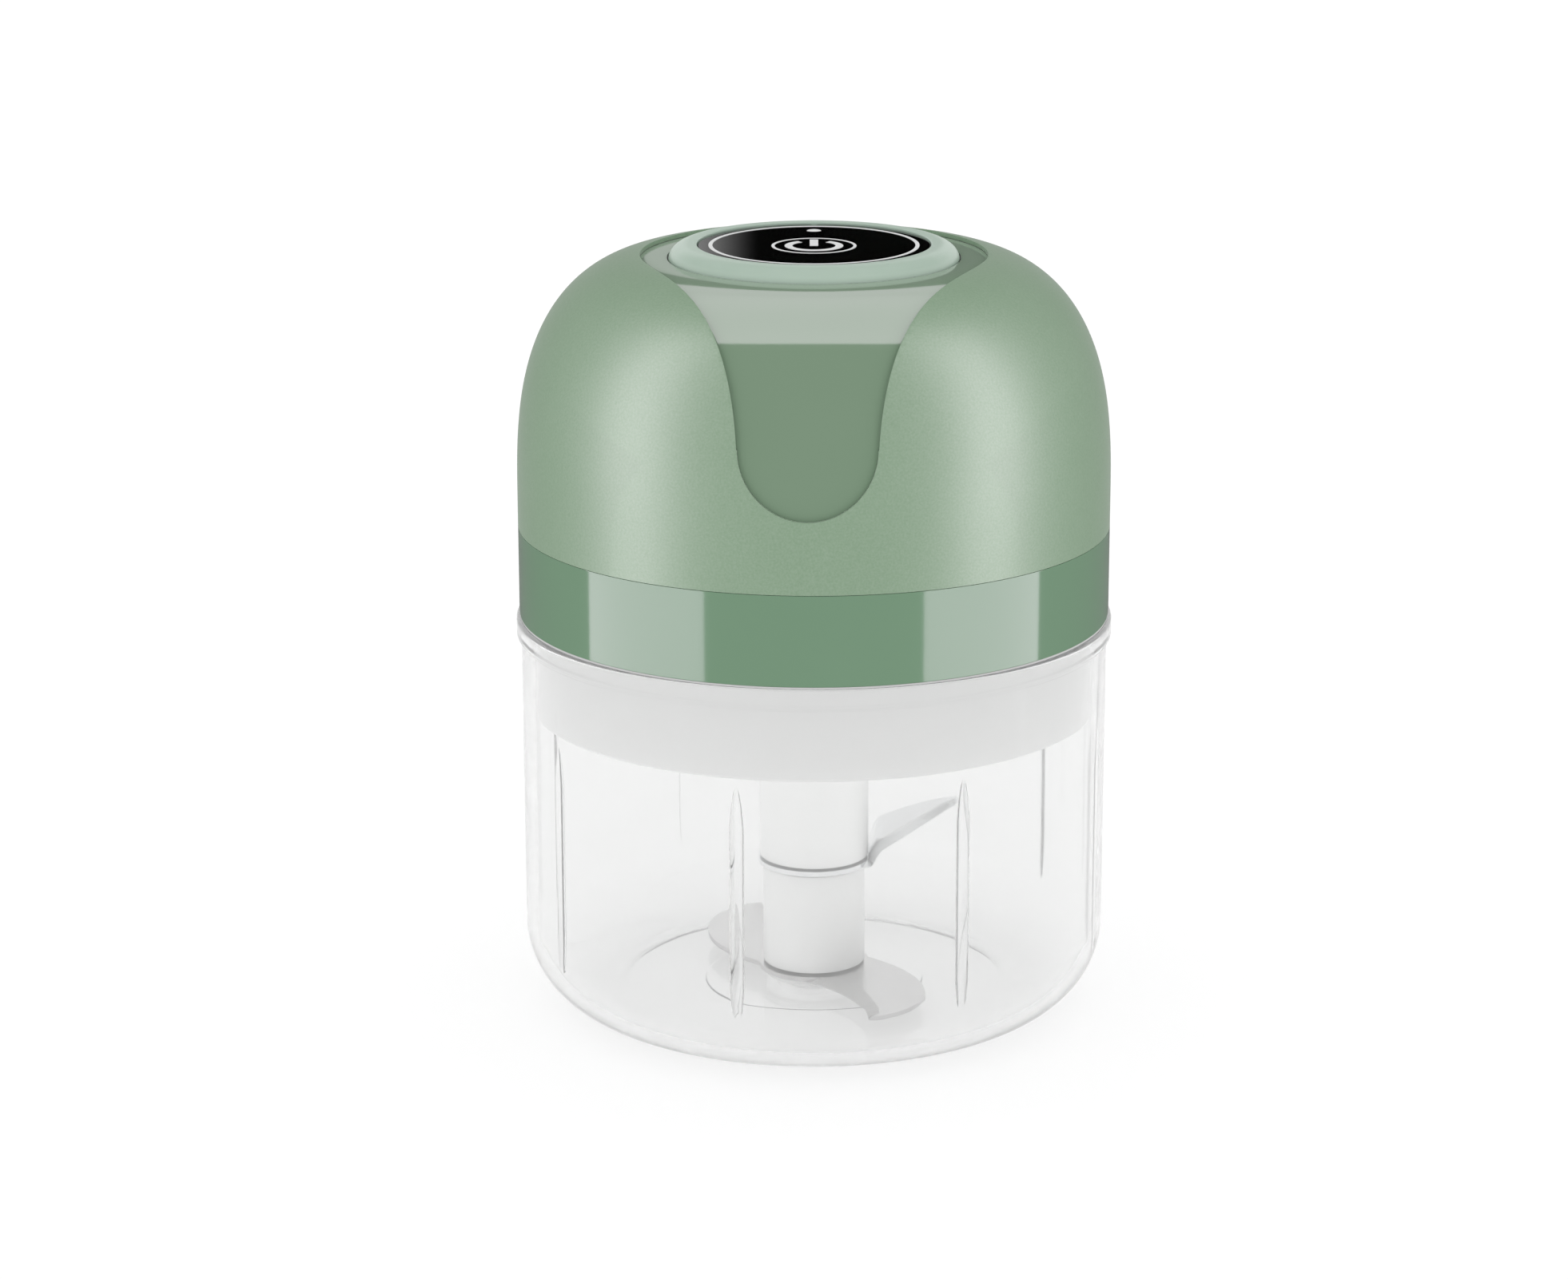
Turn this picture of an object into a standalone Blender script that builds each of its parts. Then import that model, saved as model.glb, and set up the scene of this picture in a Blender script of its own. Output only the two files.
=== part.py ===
"""Cordless mini food processor: a clear bowl, a three-winged chopping blade and a
green motor head with a press button on top.

Frame: metres, +Z up, the front faces -Y, origin at the centre of the bowl's base.
Sizes below are in millimetres; the mesh helpers turn them into metres with MM.
"""
import math
import bpy
import bmesh
from mathutils import Matrix, Vector

MM = 0.001
GAP = 0.3                 # clearance that touching pieces keep
BIG_ROUND = 48            # sides of the large turned pieces
ROUND = 24                # sides of the medium turned pieces
SMALL_ROUND = 12          # sides of pins, screws and other small pieces
OFF_CENTRE_TURN = 0.13    # radians

# Bowl
BOWL_R = 40.8
BOWL_TOP = 56.2
BOWL_WALL = 1.7
BOWL_FLOOR = 1.8
BASE_FLAT_R = 29.7        # flat ring the bowl stands on
CORNER_H = 11.65          # height of the rounded lower corner
BEAD_R = 41.45
BEAD_H = 3.1
FLOOR_DISC_R = 15.5
FLOOR_DISC_H = 0.4
RIB_COUNT = 8
RIB_FIRST_AZ = -15.0      # degrees from the front, positive to the right
RIB_W = 1.8
RIB_PROUD = 1.0
RIB_LOW = 9.0
RIB_HIGH = 42.3
RIB_POINT = 6.0           # length of each pointed end
BOSS_R = 3.4
BOSS_TOP = 7.0
PIN_R = 1.5
PIN_TOP = 21.0

# Blade and hub
HUB_R = 7.7
HUB_TOP = 49.0
SPACER_R = 7.2
CORE_R = 5.0
PLATE = 0.7               # thickness of the steel
LOWER_BLADE_Z = 3.7
UPPER_BLADE_Z = 19.4
HUB_NUT_LOW = 2.7
BUSH_TOP = 21.5
SOCKET_LOW = 42.0
WING_FOLD_X = 8.0         # the upper wing turns up here, clear of the hub's sleeve
WING_STEP = 1.4           # what it climbs in the fold
WING_FOLD = 1.6           # length of the fold
WING_RISE = 0.6           # slope beyond the fold
WING_TWIST = 1.7          # how much higher the back edge climbs in the fold

# Motor head
HEAD_R = 41.0
BAND_LOW = 56.5
BAND_TOP = 68.7
SHELL_LOW = 68.9
DOME_LOW = 73.15          # the dome starts to curve in here
DOME_TOP = 106.5
DOME_RIM_R = 21.19        # radius at which the dome turns level
DOME_POWER_R = 2.173
DOME_POWER_Z = 2.805
SHELL_WALL = 1.05
PANEL_SINK = SHELL_WALL + 0.25
HOUSING_WALL = 1.7
SKIRT_R = 38.7
SKIRT_LOW = 42.9
SKIRT_TOP = 62.0
SKIRT_WALL = 1.7
DECK_LOW = 47.0
DECK_THICK = 1.6
WELL_R = 10.6             # well over the hub's top
WELL_TOP = 52.0
WELL_RIM_R = 23.8         # round opening about the button
TONGUE_R = 9.15           # round lower end of the front tongue
TONGUE_LOW = 78.6
SCREW_R_FROM_AXIS = 34.0
SCREW_AZIMUTHS = (45, 135, 225, 315)
MOTOR_SCREW_X = 8.0
BOARD_SCREW_X = 24.2

# Button
BUTTON_R = 19.9
BORE_R = 20.35
BUTTON_TOP = 107.8
SHOULDER_W = 2.8
SHOULDER_H = 2.2
LENS_R = 15.8
LENS_TOP = 107.5
LENS_THICK = 1.5
BUTTON_SKIRT_LOW = 99.5
BUTTON_WEB_LOW = 103.9
WINDOW_Y = 11.4
BOARD_TOP = 97.1

# Motor, cell and charging port
CAN_R = 13.8
CAN_LOW = 54.2
CAN_TOP = 86.0
SHAFT_R = 1.15
CELL_R = 9.0
CELL_X = -24.6
CELL_LOW = 50.0
CELL_TOP = 85.0
PORT_Z = 78.0
PORT_W = 11.2
PORT_H = 5.6
PLUG_CLEAR = 0.45         # room around the plug in its slot
PLUG_NEAR_Y = 39.4        # thin enough to swing out without touching the slot
PLUG_FAR_Y = 41.1


def clear_scene():
    for obj in list(bpy.data.objects):
        bpy.data.objects.remove(obj, do_unlink=True)


def material(name, color, roughness, metallic=0.0, transmission=0.0):
    mat = bpy.data.materials.new(name)
    mat.use_nodes = True
    shader = mat.node_tree.nodes["Principled BSDF"]
    shader.inputs["Base Color"].default_value = (*color, 1.0)
    shader.inputs["Roughness"].default_value = roughness
    shader.inputs["Metallic"].default_value = metallic
    shader.inputs["Transmission Weight"].default_value = transmission
    mat.diffuse_color = (*color, 1.0)
    return mat


def add_mesh(name, bm, mat):
    """Turns a bmesh in millimetres into a named, outward facing object in metres."""
    bmesh.ops.remove_doubles(bm, verts=bm.verts, dist=1e-5)
    bmesh.ops.recalc_face_normals(bm, faces=bm.faces)
    bmesh.ops.scale(bm, vec=(MM, MM, MM), verts=bm.verts)
    mesh = bpy.data.meshes.new(name)
    bm.to_mesh(mesh)
    bm.free()
    mesh.shade_smooth()
    mesh.set_sharp_from_angle(angle=math.radians(35))
    mesh.materials.append(mat)
    obj = bpy.data.objects.new(name, mesh)
    bpy.context.collection.objects.link(obj)
    return obj


def lathe(name, profile, sides, mat, at=(0.0, 0.0)):
    """Turns a closed outline of (radius, height) points about a vertical axis.

    An off-centre piece is turned a little, so that none of its corners falls on a
    radial edge of the large piece that it is cut from or joined to.
    """
    bm = bmesh.new()
    rings = []
    turn = 0.0 if at == (0.0, 0.0) else OFF_CENTRE_TURN
    for radius, height in profile:
        if radius < 1e-6:
            rings.append([bm.verts.new((at[0], at[1], height))] * sides)
            continue
        rings.append([bm.verts.new((x, y, height)) for x, y in circle(radius, sides, at, turn)])
    for k, ring in enumerate(rings):
        after = rings[(k + 1) % len(rings)]
        for i in range(sides):
            j = (i + 1) % sides
            corners = [ring[i], ring[j], after[j], after[i]]
            corners = list(dict.fromkeys(corners))
            if len(corners) > 2:
                bm.faces.new(corners)
    return add_mesh(name, bm, mat)


def prism(name, outline, low, high, mat, axis="Z"):
    """Extrudes a flat outline: along Z, or along Y with the outline in X and Z."""
    bm = bmesh.new()
    place = (lambda u, v, w: (u, v, w)) if axis == "Z" else (lambda u, v, w: (u, w, v))
    bottom = [bm.verts.new(place(u, v, low)) for u, v in outline]
    top = [bm.verts.new(place(u, v, high)) for u, v in outline]
    bm.faces.new(bottom)
    bm.faces.new(top)
    for i in range(len(outline)):
        j = (i + 1) % len(outline)
        bm.faces.new((bottom[i], bottom[j], top[j], top[i]))
    return add_mesh(name, bm, mat)


def box(name, low, high, mat):
    outline = [(low[0], low[1]), (high[0], low[1]), (high[0], high[1]), (low[0], high[1])]
    return prism(name, outline, low[2], high[2], mat)


def ring_profile(inner, outer, low, high):
    return [(inner, low), (outer, low), (outer, high), (inner, high)]


def circle(radius, sides, centre=(0.0, 0.0), turn=0.0):
    return [(centre[0] + radius * math.cos(2 * math.pi * i / sides + turn),
             centre[1] + radius * math.sin(2 * math.pi * i / sides + turn)) for i in range(sides)]


def boolean(target, tool, operation):
    """Applies an exact Boolean and removes the tool."""
    mod = target.modifiers.new(operation.lower(), "BOOLEAN")
    mod.operation = operation
    mod.solver = "EXACT"
    mod.object = tool
    evaluated = target.evaluated_get(bpy.context.evaluated_depsgraph_get())
    mesh = bpy.data.meshes.new_from_object(evaluated)
    target.modifiers.clear()
    target.data = mesh
    bpy.data.objects.remove(tool, do_unlink=True)
    mesh.shade_smooth()
    mesh.set_sharp_from_angle(angle=math.radians(35))
    return target


def hole_tool(centre, radius, low, high, mat):
    return lathe("hole", [(0, high), (0, low), (radius, low), (radius, high)], SMALL_ROUND, mat, centre)


def cut(target, tool):
    return boolean(target, tool, "DIFFERENCE")


def join(target, tool):
    return boolean(target, tool, "UNION")


def arc(centre, radii, start, end, steps):
    """Points on an ellipse's arc, in degrees from +X, both ends included."""
    points = []
    for i in range(steps + 1):
        a = math.radians(start + (end - start) * i / steps)
        points.append((centre[0] + radii[0] * math.cos(a), centre[1] + radii[1] * math.sin(a)))
    return points


def bezier(p0, p1, p2, p3, steps):
    points = []
    for i in range(steps + 1):
        t = i / steps
        a, b, c, d = (1 - t) ** 3, 3 * t * (1 - t) ** 2, 3 * t * t * (1 - t), t ** 3
        points.append((a * p0[0] + b * p1[0] + c * p2[0] + d * p3[0],
                       a * p0[1] + b * p1[1] + c * p2[1] + d * p3[1]))
    return points


def from_front(radius, azimuth):
    """A place at an azimuth in degrees from the front, positive to the right."""
    a = math.radians(azimuth)
    return radius * math.sin(a), -radius * math.cos(a)


def dome_profile(inset, low, end_r, steps):
    """The dome's outline from its straight foot to end_r, moved inwards by inset."""
    points = [(HEAD_R - inset, low)]
    for i in range(steps + 1):
        a = 0.5 * math.pi * i / steps
        ca, sa = math.cos(a), math.sin(a)
        radius = DOME_RIM_R + (HEAD_R - DOME_RIM_R) * ca ** (2 / DOME_POWER_R)
        height = DOME_LOW + (DOME_TOP - DOME_LOW) * sa ** (2 / DOME_POWER_Z)
        slope = Vector((ca / (HEAD_R - DOME_RIM_R), sa / (DOME_TOP - DOME_LOW))).normalized()
        radius -= inset * slope.x
        height -= inset * slope.y
        if radius > end_r + 0.6:
            points.append((radius, height))
    points.append((end_r, DOME_TOP - inset))
    return points


# ---------------------------------------------------------------- bowl

def make_bowl(mat):
    corner_r = BOWL_R - BASE_FLAT_R
    inner_r = BOWL_R - BOWL_WALL
    bead_low = BOWL_TOP - BEAD_H
    outer = [(BASE_FLAT_R, 0.0)] + arc((BASE_FLAT_R, CORNER_H), (corner_r, CORNER_H), -70, 0, 5)
    outer += [(BOWL_R, bead_low), (BEAD_R, bead_low + 0.7), (BEAD_R, BOWL_TOP - 0.7), (BOWL_R, BOWL_TOP)]
    inner = [(inner_r, BOWL_TOP)]
    inner += arc((BASE_FLAT_R, CORNER_H), (inner_r - BASE_FLAT_R, CORNER_H - BOWL_FLOOR), 0, -90, 5)
    floor = [(FLOOR_DISC_R, BOWL_FLOOR), (FLOOR_DISC_R, BOWL_FLOOR + FLOOR_DISC_H),
             (BOSS_R, BOWL_FLOOR + FLOOR_DISC_H), (BOSS_R, BOSS_TOP),
             (PIN_R + GAP, BOSS_TOP), (PIN_R + GAP, 1.0), (0.0, 1.0), (0.0, 0.0)]
    bowl = lathe("bowl", outer + inner + floor, BIG_ROUND, mat)
    for i in range(RIB_COUNT):
        join(bowl, make_rib(RIB_FIRST_AZ + 45.0 * i, inner_r, mat))
    return bowl


def make_rib(azimuth, inner_r, mat):
    """One upright rib with both ends tapered to a point, rooted in the wall."""
    half = RIB_W / 2
    outline = [(-half, RIB_LOW + RIB_POINT), (0.0, RIB_LOW), (half, RIB_LOW + RIB_POINT),
               (half, RIB_HIGH - RIB_POINT), (0.0, RIB_HIGH), (-half, RIB_HIGH - RIB_POINT)]
    rib = prism("rib", outline, -inner_r - 0.8, -inner_r + RIB_PROUD, mat, axis="Y")
    rib.data.transform(Matrix.Rotation(math.radians(azimuth), 4, "Z"))
    return rib


# ---------------------------------------------------------------- blade

def wing_outline(root_r):
    """A sickle wing seen from above: a concave cutting edge and a convex back."""
    tip = (7.9, -24.4)
    edge = bezier((-3.6, -root_r), (2.8, -9.4), (7.4, -16.0), tip, 6)
    back = bezier(tip, (18.6, -20.6), (18.4, -4.8), (4.0, 3.4), 8)
    return edge + back[1:] + [(0.0, 0.0)]


def make_lower_blade(mat):
    top = LOWER_BLADE_Z + PLATE
    blade = prism("lower_blade", circle(SPACER_R + 0.6, ROUND), LOWER_BLADE_Z, top, mat)
    for turn in (0.0, math.pi):
        wing = prism("wing", wing_outline(6.6), LOWER_BLADE_Z, top, mat)
        wing.data.transform(Matrix.Rotation(turn, 4, "Z"))
        join(blade, wing)
    return cut(blade, prism("hole", circle(CORE_R + GAP, ROUND), 0.0, 10.0, mat))


def wing_lift(x, across, tip_x):
    """How high the upper wing stands at x; across is 0 on its front edge and 1 on its back."""
    out = max(0.0, x - WING_FOLD_X)
    share = min(1.0, out / WING_FOLD)
    fold = share * share * (3 - 2 * share)
    return fold * (WING_STEP + WING_TWIST * across * (tip_x - x) / (tip_x - WING_FOLD_X)) + WING_RISE * out


def make_upper_blade(mat):
    """A washer with one wing, bent upwards as it leaves the hub."""
    blade = prism("upper_blade", circle(HUB_R + 0.25, ROUND), UPPER_BLADE_Z, UPPER_BLADE_Z + PLATE, mat)
    tip_x = 20.6
    front = [(5.5, -4.6)] + bezier((WING_FOLD_X, -4.1), (10.5, -3.4), (15.5, -2.6), (tip_x, -1.4), 6)
    back = bezier((tip_x, -0.6), (17.5, 3.4), (13.0, 6.0), (WING_FOLD_X, 5.9), 6) + [(5.5, 5.4)]
    bm = bmesh.new()
    layers = []
    for thick in (0.0, PLATE):
        ring = []
        for i, (x, y) in enumerate(front + back):
            across = 0 if i < len(front) else 1
            ring.append(bm.verts.new((x, y, UPPER_BLADE_Z + wing_lift(x, across, tip_x) + thick)))
        layers.append(ring)
    count = len(layers[0])
    columns = len(front)
    for k, ring in enumerate(layers):
        for i in range(columns - 1):
            quad = [ring[i], ring[i + 1], ring[count - 2 - i], ring[count - 1 - i]]
            bm.faces.new(quad)
    for i in range(count):
        j = (i + 1) % count
        bm.faces.new((layers[0][i], layers[0][j], layers[1][j], layers[1][i]))
    join(blade, add_mesh("wing", bm, mat))
    return cut(blade, prism("hole", circle(CORE_R + GAP, ROUND), 0.0, 40.0, mat))


def make_hub(mat):
    """The upper sleeve with its core tube, bored for the pin below and socketed above."""
    shoulder = UPPER_BLADE_Z + PLATE + GAP
    bore = BOSS_R + GAP
    profile = [(bore, HUB_NUT_LOW), (CORE_R, HUB_NUT_LOW), (CORE_R, shoulder), (HUB_R, shoulder),
               (HUB_R, HUB_TOP - 0.8), (HUB_R - 0.8, HUB_TOP), (5.5, HUB_TOP), (5.5, SOCKET_LOW),
               (0.0, SOCKET_LOW), (0.0, 24.0), (bore, 24.0)]
    return lathe("blade_hub", profile, ROUND, mat)


# ---------------------------------------------------------------- head covers

def tongue_cutter(mat):
    """The space of the round opening and of the tongue that runs down the front."""
    right = bezier((TONGUE_R, -39.6), (9.9, -36.9), (20.3, -16.2), (22.8, -6.8), 8)
    start = math.degrees(math.atan2(-6.8, 22.8))
    rim = arc((0.0, 0.0), (WELL_RIM_R, WELL_RIM_R), start, 180 - start, 24)
    left = [(-x, y) for x, y in reversed(right)]
    plan = [(TONGUE_R, -50.0)] + right + rim[1:-1] + left + [(-TONGUE_R, -50.0)]
    cutter = prism("tongue", plan, 60.0, 120.0, mat)
    centre_z = TONGUE_LOW + TONGUE_R
    front = arc((0.0, centre_z), (TONGUE_R, TONGUE_R), 180, 360, 16)
    front += [(40.0, centre_z), (40.0, 118.0), (-40.0, 118.0), (-40.0, centre_z)]
    return boolean(cutter, prism("arch", front, -45.0, 40.0, mat, axis="Y"), "INTERSECT")


def port_cutter(mat):
    """A slot with round ends through the back wall."""
    half = (PORT_W - PORT_H) / 2
    radius = PORT_H / 2
    outline = arc((half, PORT_Z), (radius, radius), -90, 90, 8)
    outline += arc((-half, PORT_Z), (radius, radius), 90, 270, 8)
    return prism("port", outline, 30.0, 45.0, mat, axis="Y")


def make_outer_shell(mat):
    outer = dome_profile(0.0, SHELL_LOW, DOME_RIM_R, 10)
    inner = dome_profile(SHELL_WALL, SHELL_LOW, DOME_RIM_R, 10)
    shell = lathe("outer_shell", outer + inner[::-1], BIG_ROUND, mat)
    cut(shell, tongue_cutter(mat))
    return cut(shell, port_cutter(mat))


def make_inner_housing(mat):
    """The gloss inner dome: seen in the tongue, with the button's bore and screw posts."""
    foot_r = SKIRT_R - 0.1
    outer = dome_profile(PANEL_SINK, SHELL_LOW + 0.1, BORE_R, 10)
    inner = dome_profile(PANEL_SINK + HOUSING_WALL, SHELL_LOW + 4.0, BORE_R + 1.5, 7)
    inner = inner[:-1] + [(BORE_R + 1.5, inner[-1][1])]
    profile = [(foot_r - 2.4, SKIRT_TOP + GAP), (foot_r, SKIRT_TOP + GAP), (foot_r, SHELL_LOW + 0.1)]
    profile += outer + [(BORE_R, 97.6), (BORE_R + 1.5, 97.6)] + inner[::-1]
    profile += [(foot_r - 2.4, SHELL_LOW + 4.0)]
    housing = lathe("inner_housing", profile, BIG_ROUND, mat)
    screw_places = [from_front(SCREW_R_FROM_AXIS, azimuth) for azimuth in SCREW_AZIMUTHS]
    board_places = [(side * BOARD_SCREW_X, 0.0) for side in (-1, 1)]
    posts = [(place, 2.5, 49.0, 80.0, 1.35, 60.0) for place in screw_places]
    posts += [(place, 1.9, 97.4, 104.0, 1.05, 101.0) for place in board_places]
    for place, radius, low, high, hole_r, hole_top in posts:
        profile = [(0, high), (0, hole_top), (hole_r, hole_top), (hole_r, low), (radius, low), (radius, high)]
        join(housing, lathe("post", profile, SMALL_ROUND, mat, place))
    return cut(housing, port_cutter(mat))


def make_trim_band(mat):
    inner_r = SKIRT_R + GAP
    profile = [(inner_r, BAND_TOP), (inner_r, BAND_LOW + 1.0), (HEAD_R - 0.4, BAND_LOW + 1.0),
               (HEAD_R - 0.4, BAND_LOW), (HEAD_R, BAND_LOW), (HEAD_R, BAND_TOP)]
    return lathe("trim_band", profile, BIG_ROUND, mat)


def make_motor_base(mat):
    """White plug that fills the bowl's mouth, with the deck that carries the motor."""
    inner_r = SKIRT_R - SKIRT_WALL
    deck_top = DECK_LOW + DECK_THICK
    well_out = WELL_R + DECK_THICK
    hole_r = 3.2
    profile = [(SKIRT_R - 0.5, SKIRT_LOW), (SKIRT_R, SKIRT_LOW + 0.5), (SKIRT_R, SKIRT_TOP),
               (inner_r, SKIRT_TOP), (inner_r, deck_top), (well_out, deck_top),
               (well_out, WELL_TOP + DECK_THICK), (hole_r, WELL_TOP + DECK_THICK), (hole_r, WELL_TOP),
               (WELL_R, WELL_TOP), (WELL_R, DECK_LOW), (inner_r, DECK_LOW), (inner_r, SKIRT_LOW)]
    base = lathe("motor_base", profile, BIG_ROUND, mat)
    for azimuth in SCREW_AZIMUTHS:
        cut(base, hole_tool(from_front(SCREW_R_FROM_AXIS, azimuth), 1.35, 40.0, 60.0, mat))
    for side in (-1, 1):
        cut(base, hole_tool((side * MOTOR_SCREW_X, 0.0), 1.3, 50.0, 60.0, mat))
    return base


# ---------------------------------------------------------------- button

def make_button_ring(mat):
    pocket_r = LENS_R + GAP
    web_top = LENS_TOP - LENS_THICK - GAP
    shoulder_z = BUTTON_TOP - SHOULDER_H
    profile = [(0.0, 102.5), (2.2, 102.5), (2.2, BUTTON_WEB_LOW), (18.4, BUTTON_WEB_LOW),
               (18.4, BUTTON_SKIRT_LOW), (BUTTON_R, BUTTON_SKIRT_LOW), (BUTTON_R, shoulder_z)]
    profile += arc((BUTTON_R - SHOULDER_W, shoulder_z), (SHOULDER_W, SHOULDER_H), 20, 90, 4)
    profile += [(pocket_r + 0.2, BUTTON_TOP), (pocket_r, BUTTON_TOP - 0.3), (pocket_r, web_top), (0.0, web_top)]
    ring = lathe("button_ring", profile, ROUND, mat)
    return cut(ring, hole_tool((0.0, WINDOW_Y), 1.3, 100.0, 110.0, mat))


def make_button_lens(mat):
    low = LENS_TOP - LENS_THICK
    lens = lathe("button_lens", [(0, LENS_TOP), (0, low), (LENS_R, low), (LENS_R, LENS_TOP)], ROUND, mat)
    return cut(lens, hole_tool((0.0, WINDOW_Y), 1.3, 100.0, 110.0, mat))


def make_spring(mat):
    """A coil spring between the board and the button's web, around the switch."""
    turns, per_turn, wire, coil_r = 3.5, 14, 0.35, 6.6
    low, high = BOARD_TOP + wire + GAP, BUTTON_WEB_LOW - wire - GAP
    steps = int(turns * per_turn)
    bm = bmesh.new()
    rings = []
    for i in range(steps + 1):
        a = 2 * math.pi * i / per_turn
        height = low + (high - low) * i / steps
        ring = []
        for k in range(5):
            b = 2 * math.pi * k / 5
            radius = coil_r + wire * math.cos(b)
            ring.append(bm.verts.new((radius * math.cos(a), radius * math.sin(a), height + wire * math.sin(b))))
        rings.append(ring)
    for ring, after in zip(rings, rings[1:]):
        for k in range(5):
            j = (k + 1) % 5
            bm.faces.new((ring[k], ring[j], after[j], after[k]))
    bm.faces.new(rings[0])
    bm.faces.new(rings[-1])
    return add_mesh("button_spring", bm, mat)


# ---------------------------------------------------------------- drive

def make_motor_can(mat):
    profile = [(4.6, CAN_LOW), (CAN_R - 1.0, CAN_LOW), (CAN_R, CAN_LOW + 1.0), (CAN_R, CAN_TOP),
               (CAN_R - 0.9, CAN_TOP), (CAN_R - 0.9, CAN_LOW + 1.2), (4.6, CAN_LOW + 1.2)]
    can = lathe("motor_can", profile, ROUND, mat)
    for side in (-1, 1):
        cut(can, hole_tool((side * MOTOR_SCREW_X, 0.0), 1.3, 50.0, 60.0, mat))
    return can


def make_armature(mat):
    """Laminated core with five teeth."""
    outline = []
    for k in range(5):
        for offset, radius in ((-26, 9.8), (-9, 9.9), (9, 9.9), (26, 9.8), (29, 8.2), (36, 4.4)):
            a = math.radians(72 * k + offset)
            outline.append((radius * math.cos(a), radius * math.sin(a)))
    core = prism("armature", outline, 62.0, 80.0, mat)
    return cut(core, prism("hole", circle(SHAFT_R + GAP, SMALL_ROUND), 60.0, 82.0, mat))


def make_magnet(name, middle, mat):
    outline = arc((0, 0), (12.6, 12.6), middle - 56, middle + 56, 8)
    outline += arc((0, 0), (10.8, 10.8), middle + 56, middle - 56, 8)
    return prism(name, outline, 60.0, 82.0, mat)


def make_coupling(mat):
    """Hexagonal dog on the shaft's end with a flange above it."""
    dog = prism("drive_coupling", circle(3.0, 6), 43.2, 49.8, mat)
    join(dog, prism("flange", circle(4.6, SMALL_ROUND), 49.4, 50.2, mat))
    return cut(dog, prism("hole", circle(SHAFT_R + GAP, SMALL_ROUND), 44.5, 52.0, mat))


def make_screw(name, centre, head_low, shank_top, head_r, shank_r, mat):
    head_h = 1.2
    profile = [(0.0, shank_top), (0.0, head_low + 0.6), (head_r * 0.45, head_low + 0.6),
               (head_r * 0.45, head_low), (head_r, head_low + 0.2), (head_r, head_low + head_h),
               (shank_r, head_low + head_h), (shank_r, shank_top - 0.6), (shank_r * 0.4, shank_top)]
    return lathe(name, profile, SMALL_ROUND, mat, centre)


def make_lead(name, points, mat):
    """An insulated wire along a smooth curve through its points."""
    curve = bpy.data.curves.new(name, "CURVE")
    curve.dimensions = "3D"
    curve.bevel_depth = 0.55 * MM
    curve.bevel_resolution = 1
    curve.use_fill_caps = True
    curve.resolution_u = 5
    curve.render_resolution_u = 5
    spline = curve.splines.new("BEZIER")
    spline.bezier_points.add(len(points) - 1)
    for point, place in zip(spline.bezier_points, points):
        point.co = Vector(place) * MM
        point.handle_left_type = point.handle_right_type = "AUTO"
    curve.materials.append(mat)
    obj = bpy.data.objects.new(name, curve)
    bpy.context.collection.objects.link(obj)
    return obj


def make_port_plug(mat):
    """Soft plug in the charging port, with a lifting tab on its upper edge."""
    half = (PORT_W - PORT_H) / 2
    radius = PORT_H / 2 - PLUG_CLEAR
    outline = arc((half, PORT_Z), (radius, radius), -90, 90, 8)
    outline += arc((-half, PORT_Z), (radius, radius), 90, 270, 8)
    plug = prism("port_plug", outline, PLUG_NEAR_Y, PLUG_FAR_Y, mat, axis="Y")
    return join(plug, box("tab", (-2.2, 40.7, PORT_Z + 0.6), (2.2, 41.4, PORT_Z + 1.7), mat))


def make_cell_clip(mat):
    centre = (CELL_X, 0.0)
    outline = arc(centre, (CELL_R + 1.5, CELL_R + 1.5), 100, 260, 12)
    outline += arc(centre, (CELL_R + GAP, CELL_R + GAP), 260, 100, 12)
    return prism("battery_clip", outline, 54.0, 80.0, mat)


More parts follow.
